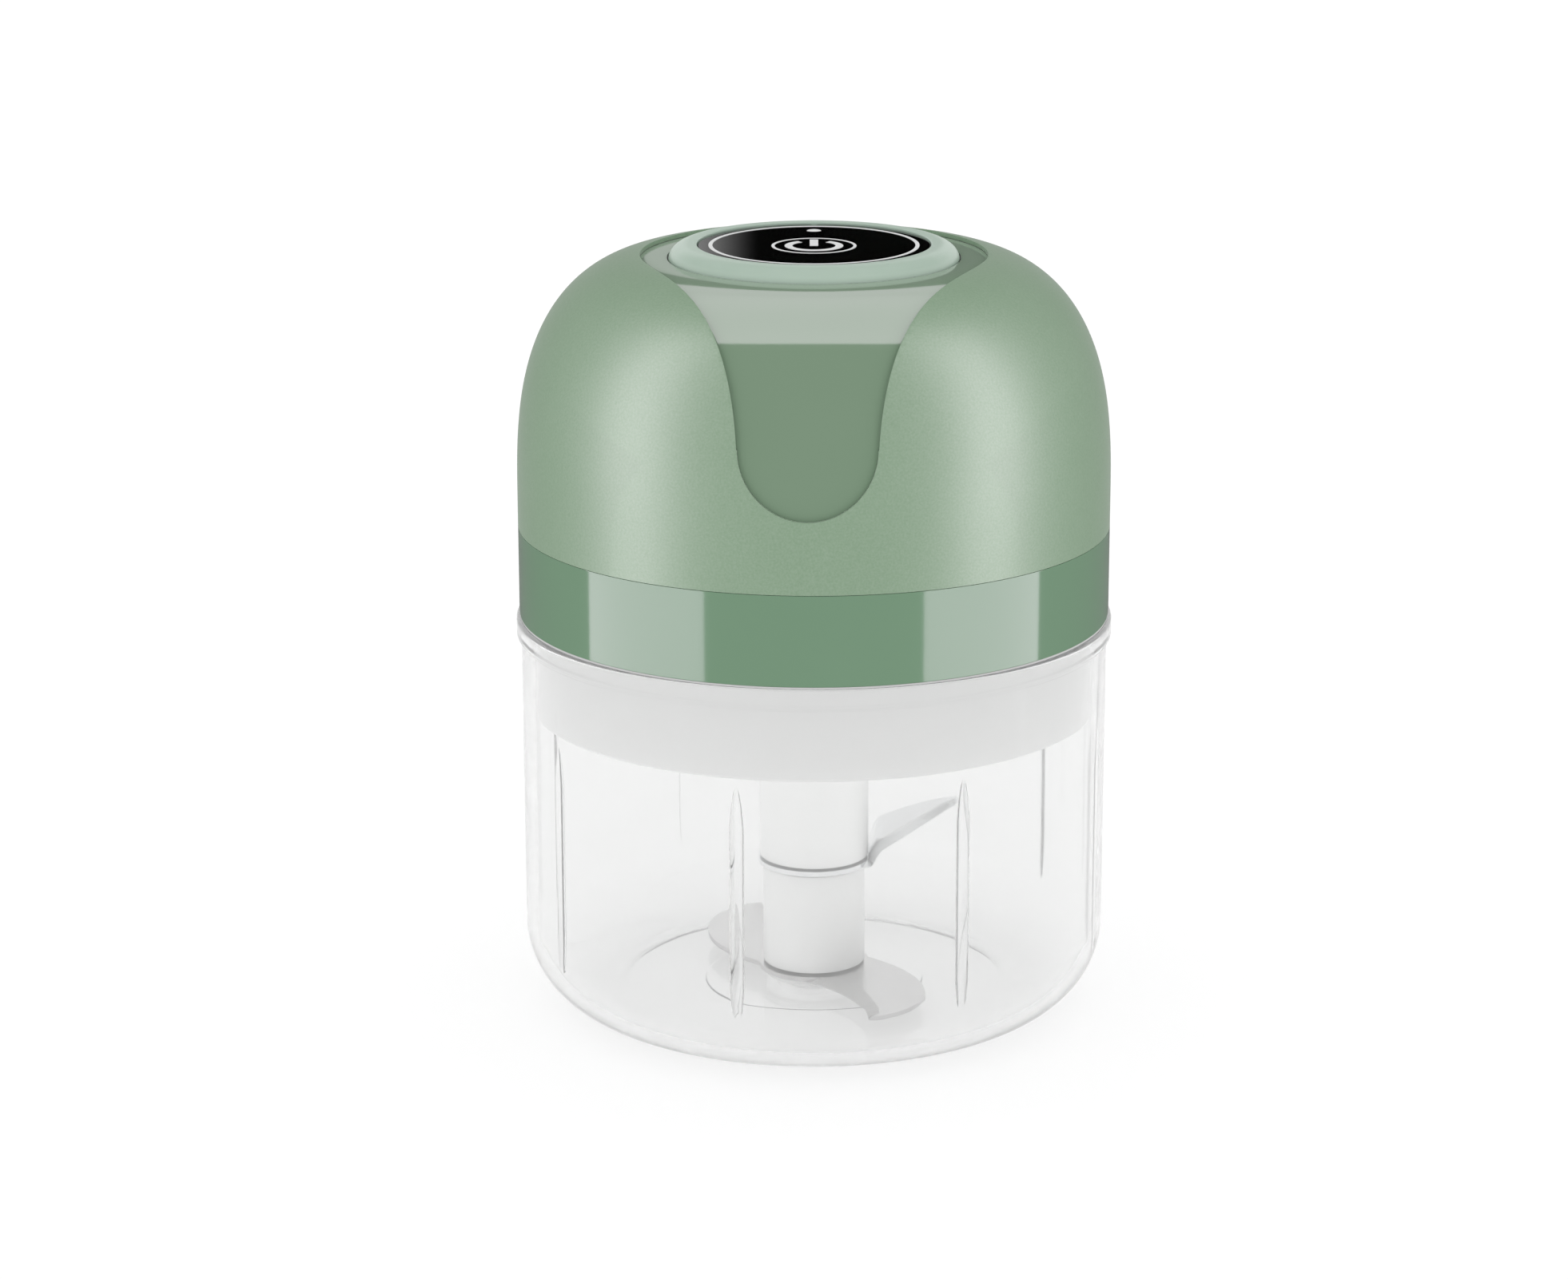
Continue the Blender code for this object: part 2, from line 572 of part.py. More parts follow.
def build():
    clear_scene()
    clear_plastic = material("clear_plastic", (0.93, 0.95, 0.95), 0.05, 0.0, 1.0)
    white_plastic = material("white_plastic", (0.86, 0.87, 0.86), 0.35)
    hub_plastic = material("hub_plastic", (0.80, 0.81, 0.80), 0.45)
    blade_steel = material("blade_steel", (0.70, 0.71, 0.72), 0.22, 1.0)
    satin_green = material("satin_green", (0.29, 0.42, 0.29), 0.42)
    gloss_green = material("gloss_green", (0.20, 0.32, 0.21), 0.12)
    ring_green = material("ring_green", (0.52, 0.64, 0.55), 0.38)
    gloss_black = material("gloss_black", (0.01, 0.01, 0.01), 0.06)
    window_white = material("window_white", (0.9, 0.9, 0.9), 0.3)
    silicone = material("silicone", (0.75, 0.78, 0.75), 0.6)
    motor_steel = material("motor_steel", (0.55, 0.56, 0.57), 0.35, 1.0)
    shaft_steel = material("shaft_steel", (0.62, 0.63, 0.64), 0.2, 1.0)
    bronze = material("bronze", (0.55, 0.38, 0.18), 0.35, 1.0)
    copper = material("copper", (0.72, 0.36, 0.20), 0.3, 1.0)
    ferrite = material("ferrite", (0.05, 0.05, 0.055), 0.6)
    black_nylon = material("black_nylon", (0.03, 0.03, 0.03), 0.5)
    board_green = material("board_green", (0.03, 0.20, 0.09), 0.4)
    cell_wrap = material("cell_wrap", (0.05, 0.22, 0.45), 0.3)
    wire_red = material("wire_red", (0.55, 0.03, 0.02), 0.45)
    wire_black = material("wire_black", (0.02, 0.02, 0.02), 0.45)
    zinc_screw = material("zinc_screw", (0.62, 0.62, 0.60), 0.3, 1.0)

    make_bowl(clear_plastic)
    lathe("pivot_pin", [(0, PIN_TOP), (0, 1.3), (PIN_R, 1.3), (PIN_R, PIN_TOP - 1.0), (0.6, PIN_TOP)],
          SMALL_ROUND, shaft_steel)

    lathe("pivot_bush", ring_profile(PIN_R + GAP, BOSS_R - 0.1, BOSS_TOP + 0.5, BUSH_TOP), SMALL_ROUND, bronze)
    make_hub(hub_plastic)
    spacer = ring_profile(CORE_R + GAP, SPACER_R, LOWER_BLADE_Z + PLATE + GAP, UPPER_BLADE_Z - GAP)
    lathe("hub_spacer", spacer, ROUND, hub_plastic)
    make_lower_blade(blade_steel)
    make_upper_blade(blade_steel)
    lathe("hub_nut", ring_profile(CORE_R + GAP, 6.8, HUB_NUT_LOW, LOWER_BLADE_Z - GAP), ROUND, white_plastic)
    socket = prism("drive_socket", circle(5.2, ROUND), SOCKET_LOW + GAP, HUB_TOP - 0.3, black_nylon)
    cut(socket, prism("hole", circle(3.45, 6), 40.0, 52.0, black_nylon))

    make_outer_shell(satin_green)
    make_inner_housing(gloss_green)
    make_trim_band(gloss_green)
    make_motor_base(white_plastic)
    lathe("lip_gasket", ring_profile(SKIRT_R + GAP, HEAD_R - 0.7, BAND_LOW, BAND_LOW + 0.7), BIG_ROUND, silicone)

    make_button_ring(ring_green)
    make_button_lens(gloss_black)
    window = [(0, LENS_TOP), (0, 100.6), (1.0, 100.6), (1.0, LENS_TOP)]
    lathe("indicator_window", window, SMALL_ROUND, window_white, (0.0, WINDOW_Y))
    make_spring(shaft_steel)

    make_motor_can(motor_steel)
    make_magnet("motor_magnet_left", 180, ferrite)
    make_magnet("motor_magnet_right", 0, ferrite)
    end_cap = [(1.5, CAN_TOP + GAP), (CAN_R - 0.4, CAN_TOP + GAP), (CAN_R - 0.4, 89.2), (6.0, 89.2),
               (6.0, 91.0), (1.5, 91.0)]
    lathe("motor_end_cap", end_cap, ROUND, black_nylon)
    lathe("motor_shaft", [(0, 90.6), (0, 44.8), (SHAFT_R, 44.8), (SHAFT_R, 90.6)], SMALL_ROUND, shaft_steel)
    make_armature(motor_steel)
    lathe("commutator", ring_profile(SHAFT_R + GAP, 3.4, 81.0, 85.6), SMALL_ROUND, copper)
    for name, side in (("brush_left", -1), ("brush_right", 1)):
        near, far = sorted((side * 3.75, side * 8.5))
        box(name, (near, -1.6, 82.0), (far, 1.6, 85.0), ferrite)
    for name, side in (("motor_terminal_left", -1), ("motor_terminal_right", 1)):
        box(name, (side * 8.5 - 0.3, -1.2, 89.5), (side * 8.5 + 0.3, 1.2, 93.0), bronze)
    make_coupling(black_nylon)
    lathe("shaft_bearing", ring_profile(SHAFT_R + 0.25, 2.9, WELL_TOP + 0.1, CAN_LOW - 0.4), SMALL_ROUND, bronze)
    lathe("shaft_seal", ring_profile(SHAFT_R + 0.25, 4.4, 50.6, WELL_TOP - GAP), SMALL_ROUND, silicone)

    lathe("battery_cell", [(0, CELL_TOP), (0, CELL_LOW), (CELL_R, CELL_LOW), (CELL_R, CELL_TOP - 1.5),
                           (3.0, CELL_TOP - 1.5), (3.0, CELL_TOP)], ROUND, cell_wrap, (CELL_X, 0.0))
    make_cell_clip(black_nylon)
    board = prism("control_board", circle(26.0, ROUND), BOARD_TOP - 1.2, BOARD_TOP, board_green)
    for side in (-1, 1):
        cut(board, hole_tool((side * BOARD_SCREW_X, 0.0), 1.3, 90.0, 99.0, board_green))
    switch = box("tact_switch", (-3.0, -3.0, BOARD_TOP + GAP), (3.0, 3.0, 100.2), black_nylon)
    join(switch, prism("stem", circle(1.7, SMALL_ROUND), 100.0, 101.0, black_nylon))
    box("indicator_led", (-1.0, WINDOW_Y - 0.8, BOARD_TOP + GAP), (1.0, WINDOW_Y + 0.8, 98.6), window_white)
    box("charge_board", (-7.0, 28.6, 68.0), (7.0, 29.8, 88.0), board_green)
    port = box("usb_socket", (-4.5, 30.1, PORT_Z - 1.6), (4.5, 38.2, PORT_Z + 1.6), shaft_steel)
    cut(port, box("mouth", (-4.1, 31.5, PORT_Z - 1.2), (4.1, 39.0, PORT_Z + 1.2), shaft_steel))
    make_port_plug(silicone)

    for i, azimuth in enumerate(SCREW_AZIMUTHS, start=1):
        centre = from_front(SCREW_R_FROM_AXIS, azimuth)
        make_screw(f"base_screw_{i}", centre, DECK_LOW - 1.5, 58.0, 2.2, 1.05, zinc_screw)
    for i, side in enumerate((-1, 1), start=1):
        make_screw(f"motor_screw_{i}", (side * MOTOR_SCREW_X, 0.0), 50.5, 57.5, 1.9, 1.0, zinc_screw)
        make_screw(f"board_screw_{i}", (side * BOARD_SCREW_X, 0.0), BOARD_TOP - 2.7, 100.5, 1.6, 0.75, zinc_screw)

    make_lead("battery_lead_red", [(-22.0, 6.0, 87.0), (-23.5, 7.5, 90.5), (-21.0, 9.0, 93.5),
                                   (-18.0, 9.5, 95.0)], wire_red)
    make_lead("battery_lead_black", [(-26.0, -4.0, 84.6), (-27.0, -6.0, 90.0), (-23.0, -8.5, 93.6),
                                     (-19.0, -9.0, 95.0)], wire_black)
    make_lead("motor_lead_red", [(9.6, 0.0, 91.5), (11.5, 2.0, 93.2), (12.0, 5.0, 94.2), (12.0, 8.0, 95.0)], wire_red)
    make_lead("motor_lead_black", [(-9.6, 0.0, 91.5), (-11.5, -2.0, 93.2), (-12.0, -5.0, 94.2),
                                   (-12.0, -8.0, 95.0)], wire_black)
    make_lead("charge_lead_red", [(3.0, 28.0, 86.0), (3.5, 26.0, 90.0), (3.5, 23.0, 93.5), (3.5, 20.0, 95.0)], wire_red)


build()
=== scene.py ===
"""Cordless mini food processor, shown at rest on a light table.

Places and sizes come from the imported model. Lengths are in millimetres until a mesh is
made, and MM turns them into metres. The front faces -Y and +Z is up.
"""
import math

import bpy
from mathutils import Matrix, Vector


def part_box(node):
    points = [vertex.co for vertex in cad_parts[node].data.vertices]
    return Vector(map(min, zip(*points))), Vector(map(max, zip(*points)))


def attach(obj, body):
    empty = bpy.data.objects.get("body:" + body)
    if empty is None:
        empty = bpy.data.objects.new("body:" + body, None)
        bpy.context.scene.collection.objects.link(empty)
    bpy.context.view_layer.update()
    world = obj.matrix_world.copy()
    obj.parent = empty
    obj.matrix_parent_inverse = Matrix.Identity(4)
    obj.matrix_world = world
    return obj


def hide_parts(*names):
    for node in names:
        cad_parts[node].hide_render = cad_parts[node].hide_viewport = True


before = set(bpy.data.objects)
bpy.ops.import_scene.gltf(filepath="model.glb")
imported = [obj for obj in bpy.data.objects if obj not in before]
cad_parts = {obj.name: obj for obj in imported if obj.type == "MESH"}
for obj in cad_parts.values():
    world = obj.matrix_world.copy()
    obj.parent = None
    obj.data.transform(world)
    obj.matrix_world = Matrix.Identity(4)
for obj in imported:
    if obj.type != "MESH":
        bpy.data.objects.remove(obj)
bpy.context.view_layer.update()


# ---------------------------------------------------------------- bowl
# Injection moulded clear plastic, in one piece with its lip bead, its eight upright ribs
# and the boss that holds the blade's pin. It stands on a narrow foot ring.

MM = 0.001
WELD = 1e-6               # metres
BIG_ROUND = 192           # sides of the large turned pieces
BOWL_WALL = 1.7
BASE_R = 29.7             # the rounded lower corner starts here
CORNER_H = 11.65
FLOOR = 1.8
FOOT_R = 27.0             # inner edge of the foot ring
FOOT_H = 0.25
FOOT_SLOPE = 0.4          # width of the slope inside the foot ring
BEAD_PROUD = 0.65
BEAD_H = 3.1
LIP_ROUND = 0.4
FLOOR_DISC_R = 15.5
FLOOR_DISC_H = 0.15
DISC_ROUND = (0.3, 0.15)
BOSS_R = 3.4
BOSS_TOP = 7.0
BOSS_FILLET = 0.5
BOSS_EASE = 0.3
PIN_ROOM_R = 1.8
PIN_ROOM_FOOT = 1.0
RIB_COUNT = 8
RIB_FIRST = -15.0         # degrees from the front, positive to the right
RIB_SIDES = 24
RIB_R = 1.0
RIB_FLAT = 0.45           # a rib's depth as a share of its width
RIB_LOW = 7.5
RIB_HIGH = 42.3
RIB_END = ((0.0, 0.0), (0.42, 1.2), (0.72, 3.0), (1.0, 6.0))  # share of its width, rise from its end
CLEAR_TINT = (0.952, 0.954, 0.953)
CLEARNESS = 0.885         # the rest is the haze of scuffed plastic
SHADE_TINT = (0.985, 0.985, 0.985)
WAVE_SIZE = 9.0
WAVE_DEPTH = 0.008


def reach(node):
    """A turned CAD node's radius, foot and top."""
    low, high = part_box(node)
    return high.x / MM, low.z / MM, high.z / MM


def arc(middle, radii, start, end, steps=6):
    """Points on an ellipse's arc, in degrees from +X, both ends included."""
    points = []
    for i in range(steps + 1):
        a = math.radians(start + (end - start) * i / steps)
        points.append((middle[0] + radii[0] * math.cos(a), middle[1] + radii[1] * math.sin(a)))
    return points


def around(radius, azimuth):
    """A place at an azimuth in degrees from the front, positive to the right."""
    a = math.radians(azimuth)
    return radius * math.sin(a), -radius * math.cos(a)


def pick(piece):
    """Makes a piece the only one selected, and the active one."""
    bpy.ops.object.select_all(action="DESELECT")
    piece.select_set(True)
    bpy.context.view_layer.objects.active = piece


def draw(name, points):
    """Starts a mesh in edit mode: one vertex extruded from point to point."""
    bpy.ops.object.select_all(action="DESELECT")
    bpy.ops.mesh.primitive_plane_add(size=MM)
    piece = bpy.context.object
    piece.name = piece.data.name = name
    bpy.ops.object.mode_set(mode="EDIT")
    bpy.ops.mesh.merge(type="CENTER")
    bpy.ops.transform.translate(value=Vector(points[0]) * MM)
    for here, there in zip(points, points[1:]):
        step = (Vector(there) - Vector(here)) * MM
        bpy.ops.mesh.extrude_vertices_move(TRANSFORM_OT_translate={"value": step})
    bpy.ops.mesh.select_all(action="SELECT")
    bpy.ops.mesh.remove_doubles(threshold=WELD)
    return piece


def close_up():
    """Merges what meets, turns the faces outwards and leaves edit mode."""
    bpy.ops.mesh.select_all(action="SELECT")
    bpy.ops.mesh.remove_doubles(threshold=WELD)
    bpy.ops.mesh.normals_make_consistent(inside=False)
    bpy.ops.object.mode_set(mode="OBJECT")


def turned(name, outline, sides=BIG_ROUND, middle=(0.0, 0.0)):
    """Spins an outline of (radius, height) about an upright axis.

    An outline with both ends on the axis closes as it spins; any other is closed first.
    """
    ends = [] if outline[0][0] == 0 else outline[:1]
    piece = draw(name, [(middle[0] + radius, middle[1], height) for radius, height in outline + ends])
    bpy.ops.mesh.spin(steps=sides, angle=2 * math.pi, center=(middle[0] * MM, middle[1] * MM, 0.0),
                      axis=(0.0, 0.0, 1.0))
    close_up()
    return piece


def turn_piece(piece, degrees):
    """Turns a mesh about the upright axis through the origin."""
    pick(piece)
    piece.rotation_euler.z = math.radians(degrees)
    bpy.ops.object.transform_apply(location=False, rotation=True, scale=False)


def carve(piece, tool, operation="DIFFERENCE"):
    """Cuts a tool out of a piece, or joins it on, and removes the tool."""
    pick(piece)
    cut = piece.modifiers.new("cut", "BOOLEAN")
    cut.operation = operation
    cut.solver = "EXACT"
    cut.object = tool
    bpy.ops.object.modifier_apply(modifier=cut.name)
    bpy.data.objects.remove(tool, do_unlink=True)


def smooth(piece, rounding=0.0, angle=35.0, segments=2):
    """Rounds the sharp edges and shades the piece smooth up to an angle in degrees."""
    pick(piece)
    if rounding:
        bevel = piece.modifiers.new("rounding", "BEVEL")
        bevel.width = rounding * MM
        bevel.segments = segments
        bevel.limit_method = "ANGLE"
        bevel.angle_limit = math.radians(angle)
        bpy.ops.object.modifier_apply(modifier=bevel.name)
    bpy.ops.object.shade_smooth_by_angle(angle=math.radians(angle))
    weights = piece.modifiers.new("weights", "WEIGHTED_NORMAL")
    weights.keep_sharp = True
    bpy.ops.object.modifier_apply(modifier=weights.name)


class Sum:
    """A shader socket, or a tree to start from; an expression on it adds Math nodes."""

    def __init__(self, tree, socket=None):
        self.tree = tree
        self.socket = socket

    def node(self, kind, settings=None, sockets=None, output=0):
        """Adds any node: its settings come first, then its sockets' values and links."""
        made = self.tree.nodes.new(kind)
        for key, value in (settings or {}).items():
            setattr(made, key, value)
        for key, value in (sockets or {}).items():
            if isinstance(value, Sum):
                self.tree.links.new(value.socket, made.inputs[key])
            else:
                made.inputs[key].default_value = value
        return Sum(self.tree, made.outputs[output] if made.outputs else None)

    def math(self, operation, *values):
        return self.node("ShaderNodeMath", {"operation": operation}, dict(enumerate(values)))

    def __add__(self, other):
        return self.math("ADD", self, other)

    def __sub__(self, other):
        return self.math("SUBTRACT", self, other)

    def __mul__(self, other):
        return self.math("MULTIPLY", self, other)

    def __rsub__(self, other):
        return self.math("SUBTRACT", other, self)

    __radd__ = __add__
    __rmul__ = __mul__


def new_finish(name):
    """An empty material, and its tree as the start of its sums."""
    material = bpy.data.materials.new(name)
    material.use_nodes = True
    material.node_tree.nodes.clear()
    return material, Sum(material.node_tree)


def noise(tree, size, detail=2.0, stretch=(1.0, 1.0, 1.0)):
    """Lumps about size millimetres across, from 0 to 1, fixed to the piece."""
    place = tree.node("ShaderNodeTexCoord", output="Object")
    place = tree.node("ShaderNodeMapping", sockets={"Vector": place, "Scale": stretch})
    sockets = {"Vector": place, "Scale": 1 / (size * MM), "Detail": detail}
    return tree.node("ShaderNodeTexNoise", sockets=sockets)


def bump(tree, height, depth):
    """A normal from a height of 0 to 1, as deep as depth in millimetres."""
    return tree.node("ShaderNodeBump", sockets={"Height": height, "Distance": depth * MM}, output="Normal")


def between(tree, factor, first, second):
    """A colour between two, by a factor of 0 to 1."""
    return tree.node("ShaderNodeMix", {"data_type": "RGBA"},
                     {0: factor, 6: (*first, 1.0), 7: (*second, 1.0)}, output=2)


def surface(tree, sockets):
    """The piece's own shader, and the material's output."""
    shader = tree.node("ShaderNodeBsdfPrincipled", sockets=sockets)
    tree.node("ShaderNodeOutputMaterial", sockets={"Surface": shader})


def clear_plastic():
    """Clear, with the faint waves of a moulded wall; lamps shine through it."""
    material, tree = new_finish("clear_plastic")
    waves = noise(tree, WAVE_SIZE, 1.0)
    glass = tree.node("ShaderNodeBsdfPrincipled", sockets={
        "Base Color": (*CLEAR_TINT, 1.0), "Roughness": 0.03, "IOR": 1.49, "Transmission Weight": CLEARNESS,
        "Normal": bump(tree, waves, WAVE_DEPTH)})
    through = tree.node("ShaderNodeBsdfTransparent", sockets={"Color": (*SHADE_TINT, 1.0)})
    shadow = tree.node("ShaderNodeLightPath", output="Is Shadow Ray")
    mixed = tree.node("ShaderNodeMixShader", sockets={0: shadow, 1: glass, 2: through})
    tree.node("ShaderNodeOutputMaterial", sockets={"Surface": mixed})
    return material


def bowl_outline():
    """From the axis under the floor, up outside, over the lip and back to the boss."""
    bead_r, foot, top = reach("bowl")
    outside = bead_r - BEAD_PROUD
    inside = outside - BOWL_WALL
    bead_foot = top - BEAD_H
    outline = [(0.0, FOOT_H), (FOOT_R - FOOT_SLOPE, FOOT_H), (FOOT_R, foot)]
    outline += arc((BASE_R, foot + CORNER_H), (outside - BASE_R, CORNER_H), -90, 0, 20)
    outline += arc((outside, bead_foot + BEAD_PROUD), (BEAD_PROUD, BEAD_PROUD), -90, 0, 4)
    outline += arc((outside, top - BEAD_PROUD), (BEAD_PROUD, BEAD_PROUD), 0, 90, 4)
    outline += arc((inside + LIP_ROUND, top - LIP_ROUND), (LIP_ROUND, LIP_ROUND), 90, 180, 3)
    outline += arc((BASE_R, foot + CORNER_H), (inside - BASE_R, CORNER_H - FLOOR), 0, -90, 20)
    disc_top = FLOOR + FLOOR_DISC_H
    outline += arc((FLOOR_DISC_R - DISC_ROUND[0], disc_top - DISC_ROUND[1]), DISC_ROUND, 0, 90, 3)
    outline += [(BOSS_R + BOSS_FILLET, disc_top), (BOSS_R, disc_top + BOSS_FILLET),
                (BOSS_R, BOSS_TOP - BOSS_EASE), (BOSS_R - BOSS_EASE, BOSS_TOP), (PIN_ROOM_R, BOSS_TOP)]
    return outline + [(PIN_ROOM_R, PIN_ROOM_FOOT), (0.0, PIN_ROOM_FOOT)]


def bowl_ribs():
    """Eight spindles, half sunk in the wall, whose ends run out to a point."""
    wall = reach("bowl")[0] - BEAD_PROUD - BOWL_WALL
    outline = [(RIB_R * share, RIB_LOW + rise) for share, rise in RIB_END]
    outline += [(RIB_R * share, RIB_HIGH - rise) for share, rise in reversed(RIB_END)]
    ribs = []
    for i in range(RIB_COUNT):
        rib = turned("rib", outline, RIB_SIDES, (0.0, -wall))
        bpy.ops.object.mode_set(mode="EDIT")
        bpy.ops.transform.resize(value=(1.0, RIB_FLAT, 1.0), center_override=(0.0, -wall * MM, 0.0))
        bpy.ops.object.mode_set(mode="OBJECT")
        turn_piece(rib, RIB_FIRST + 360 / RIB_COUNT * i)
        ribs.append(rib)
    pick(ribs[0])
    for rib in ribs[1:]:
        rib.select_set(True)
    bpy.ops.object.join()
    return ribs[0]


bowl = turned("clear_bowl", bowl_outline())
carve(bowl, bowl_ribs(), "UNION")
smooth(bowl)
bowl.data.materials.append(clear_plastic())
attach(bowl, "bowl")
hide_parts("bowl")


# ---------------------------------------------------------------- blade hub
# Two milky sleeves of polypropylene on one core tube: the tall one carries the drive
# socket, the short one is a spacer that holds the blades apart.

ROUND = 96                # sides of the medium turned pieces
CORE_R = 5.0
CORE_ROOM_R = 5.3
HUB_BORE_R = 3.7
HUB_SHOULDER = 20.4
HUB_BORE_TOP = 24.0
SOCKET_R = 5.5
SOCKET_FLOOR = 42.0
HUB_EASE = 0.8            # slope at the hub's top edge
SLEEVE_ROUND = 0.22
MILKY = (0.93, 0.93, 0.925)
MILKY_DEEP = (0.90, 0.905, 0.90)


def plain_finish(name, colour, second, size, roughness, depth=0.004, stretch=(1.0, 1.0, 1.0), more=None):
    """Two close colours in soft lumps, with a roughness and a fine relief that follow them."""
    material, tree = new_finish(name)
    lumps = noise(tree, size, 3.0, stretch)
    grain = noise(tree, size / 8, 2.0, stretch)
    sockets = {"Base Color": between(tree, lumps, colour, second),
               "Roughness": grain * 0.06 + (roughness - 0.03),
               "Normal": bump(tree, grain, depth)}
    surface(tree, {**sockets, **(more or {})})
    return material


hub_r, core_foot, hub_top = reach("blade_hub")
hub_outline = [(0.0, HUB_BORE_TOP), (HUB_BORE_R, HUB_BORE_TOP), (HUB_BORE_R, core_foot),
               (CORE_R, core_foot), (CORE_R, HUB_SHOULDER), (hub_r, HUB_SHOULDER),
               (hub_r, hub_top - HUB_EASE), (hub_r - HUB_EASE, hub_top), (SOCKET_R, hub_top),
               (SOCKET_R, SOCKET_FLOOR), (0.0, SOCKET_FLOOR)]
hub = turned("hub_sleeve", hub_outline, ROUND)
smooth(hub, SLEEVE_ROUND)

spacer_r, spacer_foot, spacer_top = reach("hub_spacer")
spacer_outline = [(CORE_ROOM_R, spacer_foot), (spacer_r, spacer_foot), (spacer_r, spacer_top),
                  (CORE_ROOM_R, spacer_top)]
spacer = turned("spacer_sleeve", spacer_outline, ROUND)
smooth(spacer, SLEEVE_ROUND)

milky_plastic = plain_finish("milky_plastic", MILKY, MILKY_DEEP, 3.0, 0.42, more={
    "Subsurface Weight": 0.25, "Subsurface Radius": (0.004, 0.004, 0.004), "Subsurface Scale": 1.0})
for sleeve, node in ((hub, "blade_hub"), (spacer, "hub_spacer")):
    sleeve.data.materials.append(milky_plastic)
    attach(sleeve, "blade")
    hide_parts(node)


# ---------------------------------------------------------------- blades
# Two plates stamped from stainless sheet and ground along the leading edge. The lower
# one has two sickle wings close over the floor, the upper one a single raised wing.

PLATE = 0.7
PLATE_ROUND = 0.05
GRIND = 1.5               # width of the ground bevel
EDGE_SHARE = 0.15         # thickness left at the cutting edge, as a share of the plate
STATIONS = 33
ROWS = 7
COLLAR = 0.6              # how far the lower plate's disc stands out under the spacer
WASHER_PROUD = 0.25       # how far the upper plate's ring stands out between the sleeves
BORE_TOP = 60.0           # above all that is bored on the axis
TIP_EDGE = (7.5, -24.3)
TIP_BACK = (8.4, -24.5)
WING_FOLD_X = 8.0         # the upper wing turns up here, clear of the hub's sleeve
WING_STEP = 1.4           # what it climbs in the fold
WING_FOLD = 1.6           # length of the fold
WING_RISE = 0.6           # slope beyond the fold
WING_TWIST = 1.7          # how much higher the back edge climbs in the fold
WING_TIP = 20.6
# Each plate's steel in two tones that vary at random. The upper plate's tones are painted lighter than the
# lower's: painted light that stands in for the bright reflections on its wing and washer.
STEEL_LOWER_TONES = ((0.70, 0.69, 0.69), (0.58, 0.575, 0.575))
STEEL_UPPER_PAINTED_LIGHT = ((0.90, 0.905, 0.91), (0.80, 0.81, 0.82))


def curve_at(ends, share):
    """A point on a cubic curve through its first and last of four points."""
    left = 1 - share
    weights = (left ** 3, 3 * share * left ** 2, 3 * share ** 2 * left, share ** 3)
    return Vector([sum(w * point[k] for w, point in zip(weights, ends)) for k in (0, 1)])


def flat(x, across):
    """The lower wings don't rise."""
    return 0.0


def raised(x, across):
    """How high the upper wing stands at x; across is 0 on its cutting edge and 1 on its back."""
    out = max(0.0, x - WING_FOLD_X)
    share = min(1.0, out / WING_FOLD)
    fold = share * share * (3 - 2 * share)
    twist = WING_TWIST * across * (WING_TIP - x) / (WING_TIP - WING_FOLD_X)
    return fold * (WING_STEP + twist) + WING_RISE * out


def wing(name, edge, back, foot, lift):
    """A grid stretched between a cutting edge and a back, thickened and ground thin at its edge."""
    bpy.ops.object.select_all(action="DESELECT")
    bpy.ops.mesh.primitive_grid_add(x_subdivisions=STATIONS, y_subdivisions=ROWS, size=1.0)
    piece = bpy.context.object
    piece.name = piece.data.name = name
    full = piece.vertex_groups.new(name="full")
    for vert in piece.data.vertices:
        along, across = vert.co.x + 0.5, vert.co.y + 0.5
        near, far = curve_at(edge, along), curve_at(back, along)
        ground = min(0.5, GRIND / max((far - near).length, 0.01))
        row = round(across * ROWS)
        share = 0.0 if row == 0 else ground + (1 - ground) * (row - 1) / (ROWS - 1)
        place = near.lerp(far, share)
        vert.co = Vector((place.x, place.y, foot + lift(place.x, share))) * MM
        full.add([vert.index], EDGE_SHARE if row == 0 else 1.0, "REPLACE")
    pick(piece)
    wall = piece.modifiers.new("wall", "SOLIDIFY")
    wall.thickness = PLATE * MM
    wall.offset = 1.0
    wall.vertex_group = full.name
    bpy.ops.object.modifier_apply(modifier=wall.name)
    piece.vertex_groups.clear()
    return piece


def stamped_steel(name, tones):
    """Bright sheet with a fine grain along the wing, dulled a little in use."""
    material, tree = new_finish(name)
    wear = noise(tree, 5.0, 3.0)
    lines = noise(tree, 1.2, 2.0, (1.0, 9.0, 1.0))
    surface(tree, {"Base Color": between(tree, wear, *tones), "Metallic": 1.0,
                   "Roughness": wear * 0.10 + lines * 0.10 + 0.14, "Normal": bump(tree, lines, 0.004)})
    return material


def bored(piece, radius):
    """Cuts an upright hole on the axis, right through."""
    carve(piece, turned("bore", [(0.0, 0.0), (radius, 0.0), (radius, BORE_TOP), (0.0, BORE_TOP)], ROUND))


def plate_disc(name, radius, foot):
    """The plate's round middle, with a rough hole that is bored later."""
    inner, top = CORE_R - 1, foot + PLATE
    return turned(name, [(inner, foot), (radius, foot), (radius, top), (inner, top)], ROUND)


lower_foot = reach("lower_blade")[1]
lower_blade = plate_disc("sickle_blade", spacer_r + COLLAR, lower_foot)
lower_edge = [(-3.6, -6.6), (2.8, -9.4), (7.2, -16.0), TIP_EDGE]
lower_back = [(4.0, 3.4), (18.4, -4.8), (18.6, -20.6), TIP_BACK]
for half_turn in (0, 180):
    sickle = wing("sickle", lower_edge, lower_back, lower_foot, flat)
    turn_piece(sickle, half_turn)
    carve(lower_blade, sickle, "UNION")
bored(lower_blade, CORE_ROOM_R)
smooth(lower_blade, PLATE_ROUND, 30)

